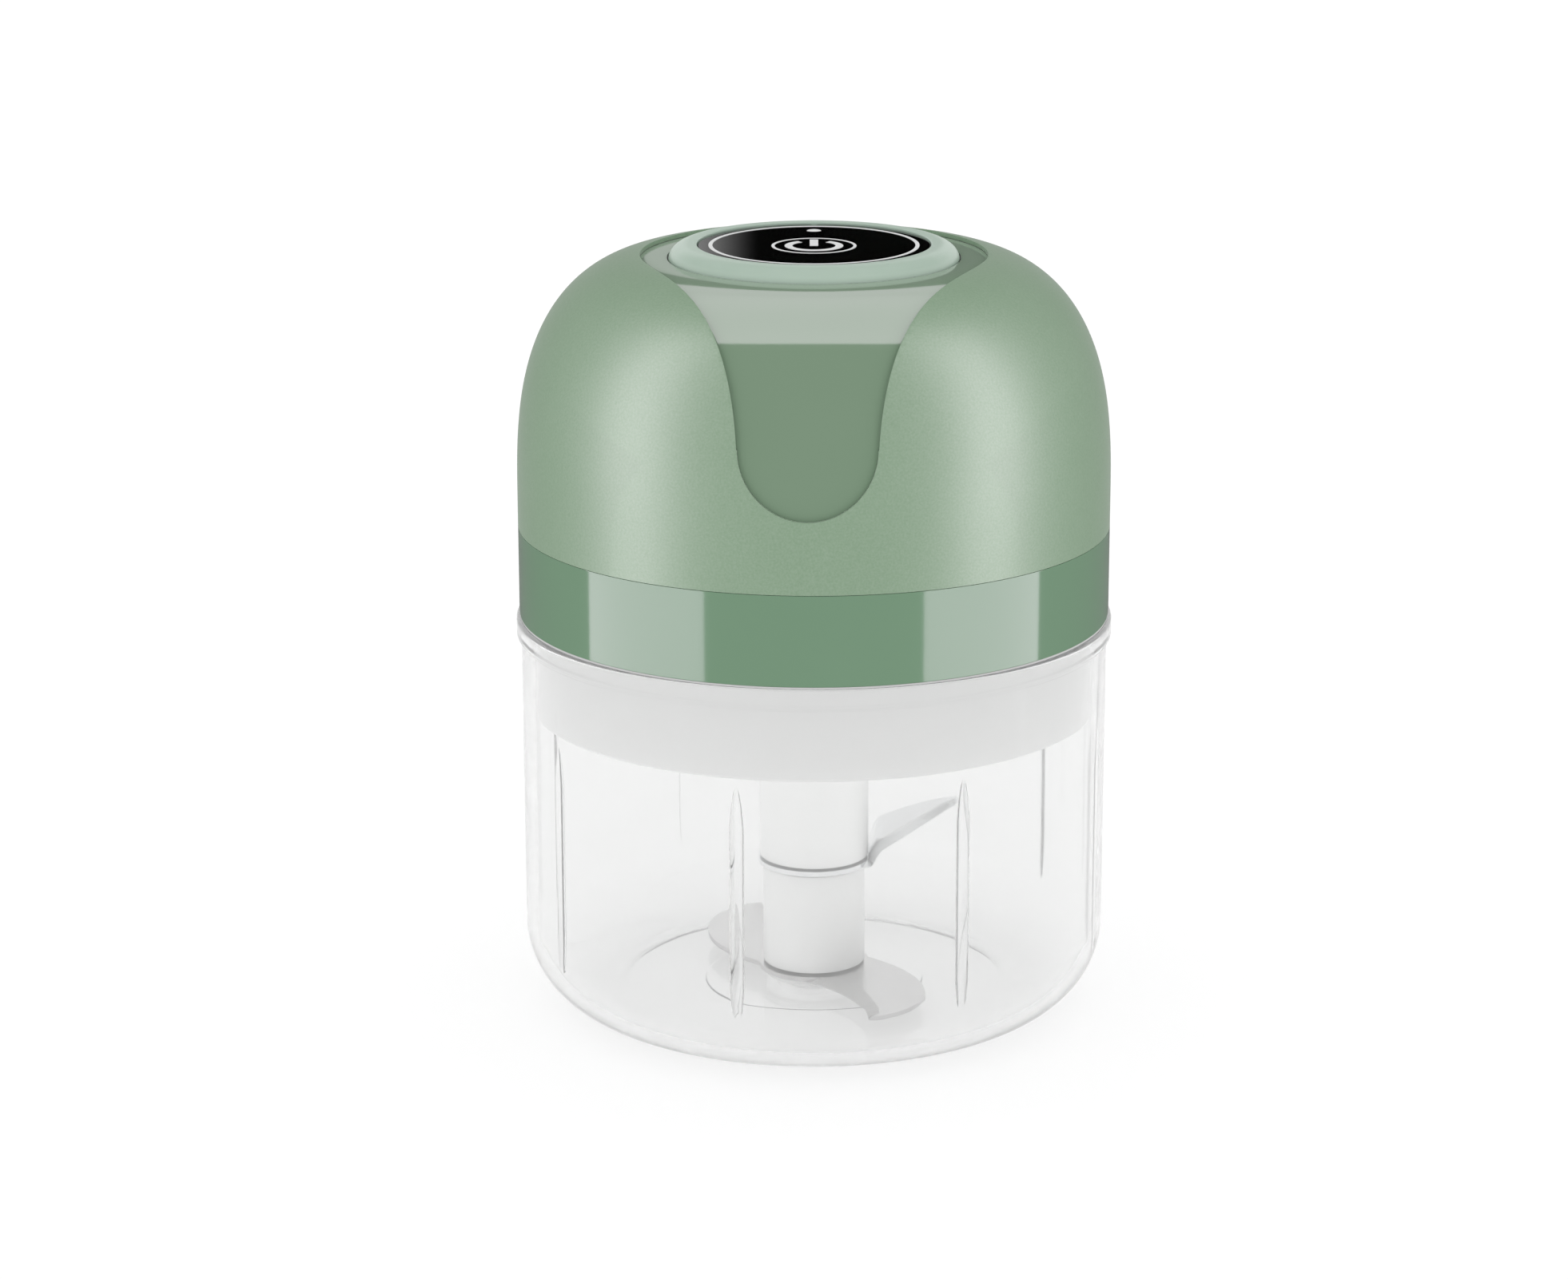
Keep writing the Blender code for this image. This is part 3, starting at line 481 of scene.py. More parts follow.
upper_foot = reach("upper_blade")[1]
upper_blade = plate_disc("raised_blade", hub_r + WASHER_PROUD, upper_foot)
upper_edge = [(5.5, -4.6), (9.5, -3.6), (15.5, -2.6), (WING_TIP - 0.2, -1.5)]
upper_back = [(5.5, 5.4), (11.0, 7.4), (17.5, 3.4), (WING_TIP, -0.6)]
carve(upper_blade, wing("raised_wing", upper_edge, upper_back, upper_foot, raised), "UNION")
bored(upper_blade, CORE_ROOM_R)
smooth(upper_blade, PLATE_ROUND, 30)

# The upper plate gets the steel tones that are painted lighter, a painted highlight.
for blade, node, tones in ((lower_blade, "lower_blade", STEEL_LOWER_TONES),
                           (upper_blade, "upper_blade", STEEL_UPPER_PAINTED_LIGHT)):
    blade.data.materials.append(stamped_steel(blade.name + "_steel", tones))
    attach(blade, "blade")
    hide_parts(node)


# ---------------------------------------------------------------- white base
# The plug that fills the bowl's mouth: white plastic, with a deck that carries the motor
# and a well over the hub. Four screws go up through the deck, two hold the motor.

SMALL_ROUND = 32          # sides of holes and posts
SKIRT_WALL = 1.7
DECK_FOOT = 47.0
DECK = 1.6
WELL_R = 10.6
WELL_TOP = 52.0
SHAFT_ROOM_R = 3.2
SCREW_RING_R = 34.0
SCREW_AZIMUTHS = (45, 135, 225, 315)
SCREW_HOLE_R = 1.35
SCREW_HOLE_FOOT = 40.0    # below the deck
MOTOR_SCREW_X = 8.0
MOTOR_HOLE_R = 1.3
MOTOR_HOLE_FOOT = 50.0    # below the well's top
SKIRT_EASE = 0.5          # round at the skirt's lower edge
WHITE = (0.945, 0.945, 0.94)
WHITE_SHADE = (0.92, 0.925, 0.92)


def drilled(piece, places, radius, foot, top):
    """Cuts one upright hole at each place."""
    for place in places:
        drill = [(0.0, foot), (radius, foot), (radius, top), (0.0, top)]
        carve(piece, turned("drill", drill, SMALL_ROUND, place))


skirt_r, skirt_foot, skirt_top = reach("motor_base")
inner_r = skirt_r - SKIRT_WALL
deck_top = DECK_FOOT + DECK
well_out = WELL_R + DECK
base_outline = arc((skirt_r - SKIRT_EASE, skirt_foot + SKIRT_EASE), (SKIRT_EASE, SKIRT_EASE), -90, 0, 3)
base_outline += [(skirt_r, skirt_top), (inner_r, skirt_top), (inner_r, deck_top), (well_out, deck_top),
                 (well_out, WELL_TOP + DECK), (SHAFT_ROOM_R, WELL_TOP + DECK), (SHAFT_ROOM_R, WELL_TOP),
                 (WELL_R, WELL_TOP), (WELL_R, DECK_FOOT), (inner_r, DECK_FOOT), (inner_r, skirt_foot)]
screw_places = [around(SCREW_RING_R, azimuth) for azimuth in SCREW_AZIMUTHS]
motor_places = [(-MOTOR_SCREW_X, 0.0), (MOTOR_SCREW_X, 0.0)]
white_base = turned("white_base", base_outline)
drilled(white_base, screw_places, SCREW_HOLE_R, SCREW_HOLE_FOOT, BORE_TOP)
drilled(white_base, motor_places, MOTOR_HOLE_R, MOTOR_HOLE_FOOT, BORE_TOP)
smooth(white_base, 0.2)
white_base.data.materials.append(plain_finish("white_plastic", WHITE, WHITE_SHADE, 4.0, 0.30))
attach(white_base, "head")
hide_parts("motor_base")


# ---------------------------------------------------------------- lip gasket
# A thin ring of grey silicone, moulded in one piece and stretched into the band's rebate.
# Its foot spreads out over the bowl's lip.

GASKET_PLAY = 0.3         # about the white base's skirt
GASKET_LIP = 0.62         # how far the gasket's foot spreads over the bowl's lip
GASKET_GRIP = 0.2         # how far its body presses into the band
GASKET_GAP = 0.03
GASKET_GREY = (0.60, 0.60, 0.60)
GASKET_DARK = (0.55, 0.55, 0.55)

gasket_r, gasket_foot, gasket_top = reach("lip_gasket")
gasket_bore = skirt_r + GASKET_PLAY
spread_r, body_r = gasket_r + GASKET_LIP, gasket_r + GASKET_GRIP
spread_foot, spread_top = reach("bowl")[2] + GASKET_GAP, gasket_foot - GASKET_GAP
gasket_outline = [(gasket_bore, spread_foot), (spread_r, spread_foot), (spread_r, spread_top),
                  (body_r, spread_top), (body_r, gasket_top), (gasket_bore, gasket_top)]
gasket = turned("seal_ring", gasket_outline)
smooth(gasket)
gasket.data.materials.append(plain_finish("grey_silicone", GASKET_GREY, GASKET_DARK, 2.0, 0.55))
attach(gasket, "head")
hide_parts("lip_gasket")


# ---------------------------------------------------------------- trim band
# A darker green ring between the dome and the bowl, moulded in a polished tool and pressed
# over the white base. A rebate below makes room for the gasket.

BAND_PLAY = 0.3           # about the white base's skirt
BAND_REBATE = 1.0
BAND_LIP = 0.4            # what the rebate leaves of the band's wall
SEAM_FILL = 0.7           # how much of the CAD's gap below the shell the band takes up
RIM_SHEEN = 0.30          # the pale film on polished and painted plastic at a low angle
SHEEN_SPREAD = 0.3
GLOSS_GREEN = (0.190, 0.309, 0.205)
GLOSS_GREEN_DEEP = (0.180, 0.297, 0.195)


def gloss_finish(name, colour, second, roughness=0.07, sheen=RIM_SHEEN):
    """Polished moulded plastic: almost no grain, only the faint pull of the mould."""
    material, tree = new_finish(name)
    pull = noise(tree, 14.0, 1.0)
    dust = noise(tree, 0.5, 2.0)
    surface(tree, {"Base Color": between(tree, pull, colour, second), "Roughness": dust * 0.03 + roughness,
                   "IOR": 1.52, "Sheen Weight": sheen, "Sheen Roughness": SHEEN_SPREAD,
                   "Normal": bump(tree, pull, 0.012)})
    return material


band_r, band_foot, band_top = reach("trim_band")
band_bore = skirt_r + BAND_PLAY
shell_foot = reach("outer_shell")[1]
band_top += (shell_foot - band_top) * SEAM_FILL
lip_r, rebate_top = band_r - BAND_LIP, band_foot + BAND_REBATE
band_outline = [(band_bore, band_top), (band_bore, rebate_top), (lip_r, rebate_top), (lip_r, band_foot),
                (band_r, band_foot), (band_r, band_top)]
band = turned("gloss_band", band_outline)
smooth(band, 0.06)
band.data.materials.append(gloss_finish("gloss_green", GLOSS_GREEN, GLOSS_GREEN_DEEP))
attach(band, "head")
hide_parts("trim_band")


# ---------------------------------------------------------------- inner housing
# The polished inner dome, seen in the tongue and about the button. It has the button's
# bore, four screw posts for the white base and two for the circuit board.

DOME_FOOT = 73.15         # the dome starts to curve in here
DOME_TOP = 106.5
DOME_RIM_R = 21.19        # radius at which the dome turns level
DOME_POWER_OUT = 2.173
DOME_POWER_UP = 2.805
DOME_STEPS = 60
DOME_END = 0.3            # the curve stops this far short of its inner end
SHELL_WALL = 0.55
PANEL_SINK = SHELL_WALL + 0.05
HOUSING_WALL = 1.7
HOUSING_RISE = 0.3        # gap over the white base
HOUSING_PLAY = 0.1        # to the skirt's face and over the shell's foot
HOUSING_FOOT_WALL = 2.4
HOUSING_FOOT_H = 4.0      # how far the thick foot reaches up into the dome
BORE_R = 20.1
BORE_WALL = 1.5
BORE_FOOT = 97.6
PORT_Z = 78.0
PORT_W = 11.2
PORT_H = 5.6
PORT_CUT = (30.0, 15.0)   # where the cut for the port starts, and how deep it goes
POST_R = 2.5
POST_TOP = 80.0
POST_HOLE_TOP = 60.0
BOARD_SCREW_X = 24.2
BOARD_POST_R = 1.9
BOARD_POST_FOOT = 97.4
BOARD_POST_TOP = 104.0
BOARD_HOLE_R = 1.05
BOARD_HOLE_TOP = 101.0
DOME_GREEN = (0.212, 0.305, 0.212)
DOME_GREEN_DEEP = (0.200, 0.293, 0.200)


def dome_outline(inset, foot, end_r):
    """The dome's outline from its straight foot to end_r, moved inwards by inset."""
    points = [(band_r - inset, foot)]
    for i in range(DOME_STEPS + 1):
        a = 0.5 * math.pi * i / DOME_STEPS
        out, up = math.cos(a), math.sin(a)
        radius = DOME_RIM_R + (band_r - DOME_RIM_R) * out ** (2 / DOME_POWER_OUT)
        height = DOME_FOOT + (DOME_TOP - DOME_FOOT) * up ** (2 / DOME_POWER_UP)
        slope = Vector((out / (band_r - DOME_RIM_R), up / (DOME_TOP - DOME_FOOT))).normalized()
        radius -= inset * slope.x
        height -= inset * slope.y
        if radius > end_r + DOME_END:
            points.append((radius, height))
    return points + [(end_r, DOME_TOP - inset)]


def block(name, outline, push):
    """Fills a closed outline of points in space and pushes it out along a vector."""
    piece = draw(name, outline + outline[:1])
    bpy.ops.mesh.edge_face_add()
    bpy.ops.mesh.extrude_region_move(TRANSFORM_OT_translate={"value": Vector(push) * MM})
    close_up()
    return piece


def slot_outline(grow, y):
    """The charging port's outline, a slot with round ends, on the back wall."""
    half = (PORT_W - PORT_H) / 2
    radius = PORT_H / 2 + grow
    outline = arc((half, PORT_Z), (radius, radius), -90, 90, 16)
    outline += arc((-half, PORT_Z), (radius, radius), 90, 270, 16)
    return [(x, y, z) for x, z in outline]


def port_tool():
    """What the charging port takes out of the back wall."""
    start, depth = PORT_CUT
    return block("slot", slot_outline(0.0, start), (0.0, depth, 0.0))


def screw_post(place, radius, foot, top, hole_r, hole_top):
    """A round post with a blind hole from below, which ends in the dome's wall."""
    outline = [(0.0, hole_top), (hole_r, hole_top), (hole_r, foot), (radius, foot), (radius, top),
               (0.0, top)]
    return turned("post", outline, SMALL_ROUND, place)


housing_foot = reach("inner_housing")[1]
foot_r = skirt_r - HOUSING_PLAY
foot_bore = foot_r - HOUSING_FOOT_WALL
foot_low = skirt_top + HOUSING_RISE
dome_low = shell_foot + HOUSING_PLAY
room_low = shell_foot + HOUSING_FOOT_H
bore_out = BORE_R + BORE_WALL
housing_outline = [(foot_bore, foot_low), (foot_r, foot_low), (foot_r, dome_low)]
housing_outline += dome_outline(PANEL_SINK, dome_low, BORE_R) + [(BORE_R, BORE_FOOT), (bore_out, BORE_FOOT)]
housing_outline += dome_outline(PANEL_SINK + HOUSING_WALL, room_low, bore_out)[::-1]
housing_outline += [(foot_bore, room_low)]
housing = turned("gloss_dome", housing_outline)
board_places = [(-BOARD_SCREW_X, 0.0), (BOARD_SCREW_X, 0.0)]
posts = [screw_post(place, POST_R, housing_foot, POST_TOP, SCREW_HOLE_R, POST_HOLE_TOP)
         for place in screw_places]
posts += [screw_post(place, BOARD_POST_R, BOARD_POST_FOOT, BOARD_POST_TOP, BOARD_HOLE_R, BOARD_HOLE_TOP)
          for place in board_places]
for post in posts:
    carve(housing, post, "UNION")
carve(housing, port_tool())
smooth(housing, 0.15)
housing.data.materials.append(gloss_finish("dome_green", DOME_GREEN, DOME_GREEN_DEEP))
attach(housing, "head")
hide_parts("inner_housing")


# ---------------------------------------------------------------- outer shell
# The satin painted dome, a thin cover clipped over the gloss one, open about the button
# and down the front in a long tongue with a round end.

RIM_R = 23.8              # round opening about the button
TONGUE_R = 9.15
TONGUE_LOW = 78.6
TONGUE_SIDE = ((TONGUE_R, -39.45), (9.2, -37.0), (20.3, -16.2), (22.8, -6.8))
TONGUE_TURN = -1.2        # degrees; the opening sits a little to the left
PLAN_NEAR = -50.0         # the opening's tools reach past the dome: before it, to its sides and above
TOOL_NEAR = -55.0
TOOL_SIDE = 40.0
TOOL_TOP = 118.0
TOOL_LOW = 60.0
TOOL_H = 60.0
SATIN_GREEN = (0.205, 0.335, 0.201)
SATIN_GREEN_LIGHT = (0.318, 0.440, 0.314)


def tongue_tool():
    """What the opening takes out: its plan, cut to a round end as seen from the front."""
    right = [tuple(curve_at(TONGUE_SIDE, i / 24)) for i in range(25)]
    start = math.degrees(math.atan2(TONGUE_SIDE[-1][1], TONGUE_SIDE[-1][0]))
    plan = [(TONGUE_R, PLAN_NEAR)] + right + arc((0.0, 0.0), (RIM_R, RIM_R), start, 180 - start, 72)[1:-1]
    plan += [(-x, y) for x, y in reversed(right)] + [(-TONGUE_R, PLAN_NEAR)]
    tool = block("tongue", [(x, y, TOOL_LOW) for x, y in plan], (0.0, 0.0, TOOL_H))
    middle = TONGUE_LOW + TONGUE_R
    front = arc((0.0, middle), (TONGUE_R, TONGUE_R), 180, 360, 48)
    front += [(TOOL_SIDE, middle), (TOOL_SIDE, TOOL_TOP), (-TOOL_SIDE, TOOL_TOP), (-TOOL_SIDE, middle)]
    arch = block("arch", [(x, TOOL_NEAR, z) for x, z in front], (0.0, TOOL_SIDE - TOOL_NEAR, 0.0))
    carve(tool, arch, "INTERSECT")
    turn_piece(tool, TONGUE_TURN)
    return tool


def satin_paint():
    """Satin lacquer with a fine orange peel and a little pearl in it."""
    material, tree = new_finish("satin_green")
    cloud = noise(tree, 12.0, 2.0)
    pearl = noise(tree, 0.3, 1.0)
    peel = noise(tree, 0.4, 2.0)
    surface(tree, {"Base Color": between(tree, cloud * 0.2 + pearl * 0.8, SATIN_GREEN, SATIN_GREEN_LIGHT),
                   "Roughness": peel * 0.06 + 0.42, "IOR": 1.5, "Specular IOR Level": 0.8,
                   "Sheen Weight": RIM_SHEEN, "Sheen Roughness": SHEEN_SPREAD,
                   "Normal": bump(tree, peel, 0.006)})
    return material


outer_outline = dome_outline(0.0, shell_foot, DOME_RIM_R)
shell = turned("satin_dome", outer_outline + dome_outline(SHELL_WALL, shell_foot, DOME_RIM_R)[::-1])
carve(shell, tongue_tool())
carve(shell, port_tool())
smooth(shell, 0.18, segments=3)
shell.data.materials.append(satin_paint())
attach(shell, "head")
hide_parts("outer_shell")


# ---------------------------------------------------------------- charging port plug
# A soft silicone plug at the back, in one piece with its fingernail tab. It is pressed into
# the slot of the charging port and swings down to open it.

PLUG_CLEAR = 0.45
TAB_W = 4.4
TAB_H = 1.1
TAB_RISE = 0.6            # the tab's foot above the port's middle
TAB_PROUD = 0.3
TAB_ROOT = 0.4            # how deep the tab starts in the plug
PLUG_GREEN = (0.30, 0.42, 0.31)
PLUG_GREEN_DARK = (0.27, 0.39, 0.28)

plug_near, plug_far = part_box("port_plug")
plug_back = plug_near.y / MM
plug_face = plug_far.y / MM - TAB_PROUD
plug = block("silicone_plug", slot_outline(-PLUG_CLEAR, plug_back), (0.0, plug_face - plug_back, 0.0))
tab_y, tab_z = plug_face - TAB_ROOT, PORT_Z + TAB_RISE
tab = [(-TAB_W / 2, tab_y, tab_z), (TAB_W / 2, tab_y, tab_z), (TAB_W / 2, tab_y, tab_z + TAB_H),
       (-TAB_W / 2, tab_y, tab_z + TAB_H)]
carve(plug, block("tab", tab, (0.0, TAB_PROUD + TAB_ROOT, 0.0)), "UNION")
smooth(plug, 0.12)
plug.data.materials.append(plain_finish("plug_silicone", PLUG_GREEN, PLUG_GREEN_DARK, 1.5, 0.55))
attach(plug, "port_plug")
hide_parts("port_plug")


# ---------------------------------------------------------------- button
# A round pale green body that slides in the bore, with a soft outer shoulder and a
# pocket for the black disc, which a nib at the back keeps from turning.

SHOULDER = (2.8, 2.2)
BUTTON_SKIRT = 1.5
WEB_FOOT = 103.9
STEM_R = 2.2
STEM_FOOT = 102.5
POCKET_CLEAR = 0.2
POCKET_EASE = 0.2
GLUE = 0.3                # room below the disc
WINDOW_Y = 11.4
WINDOW_HOLE_R = 1.3
HOLE_SPAN = (100.0, 110.0)  # heights that the drills in the button and the disc pass through
NIB_R = 0.45
NIB_ROOT = 0.4            # how deep the nib starts in the web
NIB_LOW = 0.5             # how far it ends below the button's top
BUTTON_GREEN = (0.46, 0.575, 0.49)
BUTTON_GREEN_DEEP = (0.43, 0.55, 0.46)

button_r, button_foot, button_top = reach("button_ring")
lens_r, lens_foot, lens_top = reach("button_lens")
pocket_r = lens_r + POCKET_CLEAR
web_top = lens_foot - GLUE
shoulder_z = button_top - SHOULDER[1]
button_outline = [(0.0, STEM_FOOT), (STEM_R, STEM_FOOT), (STEM_R, WEB_FOOT),
                  (button_r - BUTTON_SKIRT, WEB_FOOT), (button_r - BUTTON_SKIRT, button_foot),
                  (button_r, button_foot)]
button_outline += arc((button_r - SHOULDER[0], shoulder_z), SHOULDER, 0, 90, 12)
button_outline += arc((pocket_r + POCKET_EASE, button_top - POCKET_EASE), (POCKET_EASE, POCKET_EASE),
                      90, 180, 4)
button_outline += [(pocket_r, web_top), (0.0, web_top)]
button = turned("button_body", button_outline)
drilled(button, [(0.0, WINDOW_Y)], WINDOW_HOLE_R, *HOLE_SPAN)
nib_foot, nib_top = web_top - NIB_ROOT, button_top - NIB_LOW
nib = [(0.0, nib_foot), (NIB_R, nib_foot), (NIB_R, nib_top), (0.0, nib_top)]
carve(button, turned("nib", nib, 16, (0.0, pocket_r)), "UNION")
smooth(button, 0.05)
button.data.materials.append(plain_finish("button_green", BUTTON_GREEN, BUTTON_GREEN_DEEP, 3.0, 0.34))
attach(button, "button")
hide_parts("button_ring")


# ---------------------------------------------------------------- black disc and its print
# A gloss black disc glued into the button's pocket, printed in white with a thin line
# around it and a power sign, with a small light window behind the sign.

LINE_R = 14.13
LINE_W = 0.55
SIGN_Y = -0.7
SIGN_RING_R = 5.8
SIGN_RING_W = 0.42
SIGN_R = 4.0
SIGN_W = 1.05
SIGN_GAP = 33.0           # half the gap at the back, in degrees
SIGN_BAR = (-0.1, 4.6)    # the bar's ends, behind the sign's middle
SIGN_BAR_W = 1.1          # the bar's width as a share of the bow's
INK = 0.04                # how far the print stands up
NIB_PLAY = 0.15
DISC_BLACK = (0.0035, 0.0035, 0.0035)
DISC_BLACK_LIGHT = (0.005, 0.005, 0.005)
INK_WHITE = (0.83, 0.84, 0.84)
INK_GREY = (0.76, 0.77, 0.77)
WINDOW_WHITE = (0.88, 0.89, 0.88)
WINDOW_SINK = 0.1         # the window's domed top starts this far below the CAD's
WINDOW_DOME = 0.15


def ring_outline(outer, width, foot, top):
    """A flat ring's section, width across, inside its outer radius."""
    return [(outer - width, foot), (outer, foot), (outer, top), (outer - width, top)]


def print_sign():
    """The white print, four thin islands of ink in one piece."""
    foot, top = lens_top - INK, lens_top + INK
    middle = (0.0, SIGN_Y)
    line = turned("white_print", ring_outline(LINE_R + LINE_W / 2, LINE_W, foot, top))
    ring = turned("ring", ring_outline(SIGN_RING_R, SIGN_RING_W, foot, top), ROUND, middle)
    start, end = 90 + SIGN_GAP, 450 - SIGN_GAP
    bow = arc(middle, (SIGN_R, SIGN_R), start, end, 48)
    bow += arc(middle, (SIGN_R - SIGN_W, SIGN_R - SIGN_W), end, start, 48)
    bow = block("bow", [(x, y, foot) for x, y in bow], (0.0, 0.0, top - foot))
    half = SIGN_W * SIGN_BAR_W / 2
    near, far = [SIGN_Y + bar_end for bar_end in SIGN_BAR]
    bar = [(-half, near, foot), (half, near, foot), (half, far, foot), (-half, far, foot)]
    bar = block("bar", bar, (0.0, 0.0, top - foot))
    pick(line)
    for island in (ring, bow, bar):
        island.select_set(True)
    bpy.ops.object.join()
    return line


lens = turned("black_disc", [(0.0, lens_foot), (lens_r, lens_foot), (lens_r, lens_top), (0.0, lens_top)])
drilled(lens, [(0.0, WINDOW_Y)], WINDOW_HOLE_R, *HOLE_SPAN)
drilled(lens, [(0.0, pocket_r)], NIB_R + NIB_PLAY, *HOLE_SPAN)
smooth(lens, 0.12)
lens.data.materials.append(gloss_finish("gloss_black", DISC_BLACK, DISC_BLACK_LIGHT, 0.03, sheen=0.0))
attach(lens, "button")
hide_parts("button_lens")

sign = print_sign()
smooth(sign)
sign.data.materials.append(plain_finish("white_ink", INK_WHITE, INK_GREY, 0.8, 0.4, depth=0.001))
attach(sign, "button")

window_low, window_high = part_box("indicator_window")
window_r = (window_high.x - window_low.x) / 2 / MM
window_foot, window_top = window_low.z / MM, window_high.z / MM
dome_z = window_top - WINDOW_SINK
window_outline = [(0.0, window_foot), (window_r, window_foot)]
window_outline += arc((0.0, dome_z), (window_r, WINDOW_DOME), 0, 90, 6)[:-1] + [(0.0, dome_z + WINDOW_DOME)]
window = turned("light_window", window_outline, 32, (0.0, WINDOW_Y))
smooth(window)
window.data.materials.append(plain_finish("window_white", WINDOW_WHITE, INK_WHITE, 0.8, 0.25))
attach(window, "button")
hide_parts("indicator_window")


# ---------------------------------------------------------------- pin, bush, nut and sockets
# The blade turns on a bronze bush over a steel pin, its plates are held by a white nut,
# and a black hexagonal dog on the motor drops into a black socket in the hub.


def coat(material, *nodes):
    """Gives nodes that are shown as they are their finish."""
    for node in nodes:
        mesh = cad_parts[node].data
        mesh.materials.clear()
        mesh.materials.append(material)


def metal(name, colour, second, roughness, size=2.0, stretch=(1.0, 1.0, 1.0), depth=0.004):
    """A plain finish for bare or plated metal."""
    return plain_finish(name, colour, second, size, roughness, depth, stretch, {"Metallic": 1.0})


coat(metal("turned_steel", (0.68, 0.69, 0.70), (0.56, 0.57, 0.58), 0.22, 1.0, (1.0, 1.0, 14.0)),
     "pivot_pin", "motor_shaft", "button_spring", "usb_socket")
coat(metal("sintered_bronze", (0.55, 0.37, 0.17), (0.40, 0.26, 0.12), 0.38, 0.5, depth=0.02),
     "pivot_bush", "shaft_bearing", "motor_terminal_left", "motor_terminal_right")
coat(plain_finish("nut_white", WHITE, WHITE_SHADE, 2.0, 0.35), "hub_nut")
coat(plain_finish("black_nylon", (0.022, 0.022, 0.023), (0.040, 0.040, 0.041), 1.2, 0.46, depth=0.01),
     "drive_socket", "drive_coupling", "motor_end_cap", "battery_clip", "tact_switch")


# ---------------------------------------------------------------- motor
# A small direct-current motor: a drawn steel can with two ferrite magnets, a laminated
# core on the shaft, a copper commutator and two carbon brushes, with a seal below.


def laminated_steel():
    """Stacked sheets: thin dark lines between bright ones up the core."""
    material, tree = new_finish("laminated_steel")
    place = tree.node("ShaderNodeTexCoord", output="Object")
    sheets = tree.node("ShaderNodeTexWave", {"bands_direction": "Z"},
                       {"Vector": place, "Scale": 1 / (1.5 * MM)}, output="Fac")
    surface(tree, {"Base Color": between(tree, sheets, (0.20, 0.20, 0.21), (0.52, 0.53, 0.54)),
                   "Metallic": 1.0, "Roughness": sheets * -0.15 + 0.45, "Normal": bump(tree, sheets, 0.03)})
    return material


coat(metal("zinc_plated_steel", (0.56, 0.57, 0.58), (0.44, 0.45, 0.47), 0.32, 3.0), "motor_can")
coat(laminated_steel(), "armature")
coat(metal("drawn_copper", (0.72, 0.36, 0.20), (0.55, 0.24, 0.12), 0.30, 1.0, (1.0, 1.0, 0.2)), "commutator")
coat(plain_finish("ferrite", (0.045, 0.045, 0.05), (0.075, 0.075, 0.08), 0.8, 0.62, depth=0.02),
     "motor_magnet_left", "motor_magnet_right", "brush_left", "brush_right")
coat(plain_finish("seal_silicone", (0.42, 0.44, 0.43), (0.36, 0.38, 0.37), 1.5, 0.55), "shaft_seal")


# ---------------------------------------------------------------- cell, boards, leads and screws
# One shrink-wrapped lithium cell in a clip, the control board under the button, the
# charging board behind the port, soldered leads and plated screws.


def circuit_board():
    """Solder mask over copper tracks laid out in steps."""
    material, tree = new_finish("circuit_board")
    place = tree.node("ShaderNodeTexCoord", output="Object")
    tracks = tree.node("ShaderNodeTexVoronoi", {"feature": "DISTANCE_TO_EDGE", "distance": "EUCLIDEAN"},
                       {"Vector": place, "Scale": 1 / (3.0 * MM), "Randomness": 0.2}, output="Distance")
    mask = tracks.math("GREATER_THAN", tracks, 0.1)
    surface(tree, {"Base Color": between(tree, mask, (0.05, 0.28, 0.12), (0.02, 0.15, 0.06)),
                   "Roughness": 0.35, "Normal": bump(tree, mask, 0.02)})
    return material


coat(plain_finish("shrink_wrap", (0.04, 0.20, 0.46), (0.06, 0.26, 0.54), 6.0, 0.25, depth=0.02),
     "battery_cell")
coat(circuit_board(), "control_board", "charge_board")
coat(plain_finish("red_insulation", (0.50, 0.03, 0.02), (0.58, 0.05, 0.03), 2.0, 0.42),
     "battery_lead_red", "motor_lead_red", "charge_lead_red")
coat(plain_finish("black_insulation", (0.018, 0.018, 0.018), (0.03, 0.03, 0.03), 2.0, 0.42),
     "battery_lead_black", "motor_lead_black")
coat(plain_finish("led_epoxy", WINDOW_WHITE, (0.80, 0.82, 0.76), 0.8, 0.2), "indicator_led")
coat(metal("plated_screw", (0.60, 0.62, 0.64), (0.48, 0.50, 0.53), 0.28, 0.8),
     *[f"base_screw_{i}" for i in (1, 2, 3, 4)], "motor_screw_1", "motor_screw_2", "board_screw_1",
     "board_screw_2")


# ---------------------------------------------------------------- light table, lamps and camera
# A white acrylic table lit from within, in a white room. Strips shine on the band, tubes on
# the satin shell, a card on the gloss dome and a tent on what is clear or pale, each seen as a
# reflection only. A small black flag stands behind the button's disc.

TABLE_SIZE = 8.0          # metres, as are the other lengths in this section
TABLE_DROP = 0.0001       # leaves room below the bowl's foot
TABLE_GREY = (0.34, 0.34, 0.34)
TABLE_GLOW = 0.70
CAMERA_PLACE = (0.0, -0.582, 0.2145)
CAMERA_TILT = 15.64       # degrees below level
CAMERA_LENS = 99.17
CAMERA_SHIFT = -0.0191
LAMP_AWAY = 0.15
LAMP_TARGET = (0.024, -0.033)  # a place at the right front, mirrored for the left lamp
LAMP_TINT = (1.0, 0.9, 1.0)
STRIP_FACING = 68.5       # degrees from the front
STRIP_SIZE = (0.170, 0.45)
STRIP_GLOW = 4.7
TUBE_FACING = 77.0
TUBE_ROLL = 7.0           # degrees; each tube leans back at its top
TUBE_SIZE = (0.07, 0.38)
TUBE_GLOW = 7.0
CARD_HEIGHT = 0.5
CARD_MIDDLE = 0.49
CARD_R = 0.64
CARD_BACK = 0.75
CARD_GLOW = 5.6
CARD_NEAR_FADE = (0.84, 1.07)  # share of the glow at y = 0, and what it loses in a metre
CARD_FAR_FADE = (0.51, 0.37)
ROOM_GLOW = 1.0
TENT_R = 3.5
FLAG_PLACE = (0.0, 0.50, 0.20)
FLAG_SIZE = (0.12, 0.10)
FLAG_GREY = 0.55
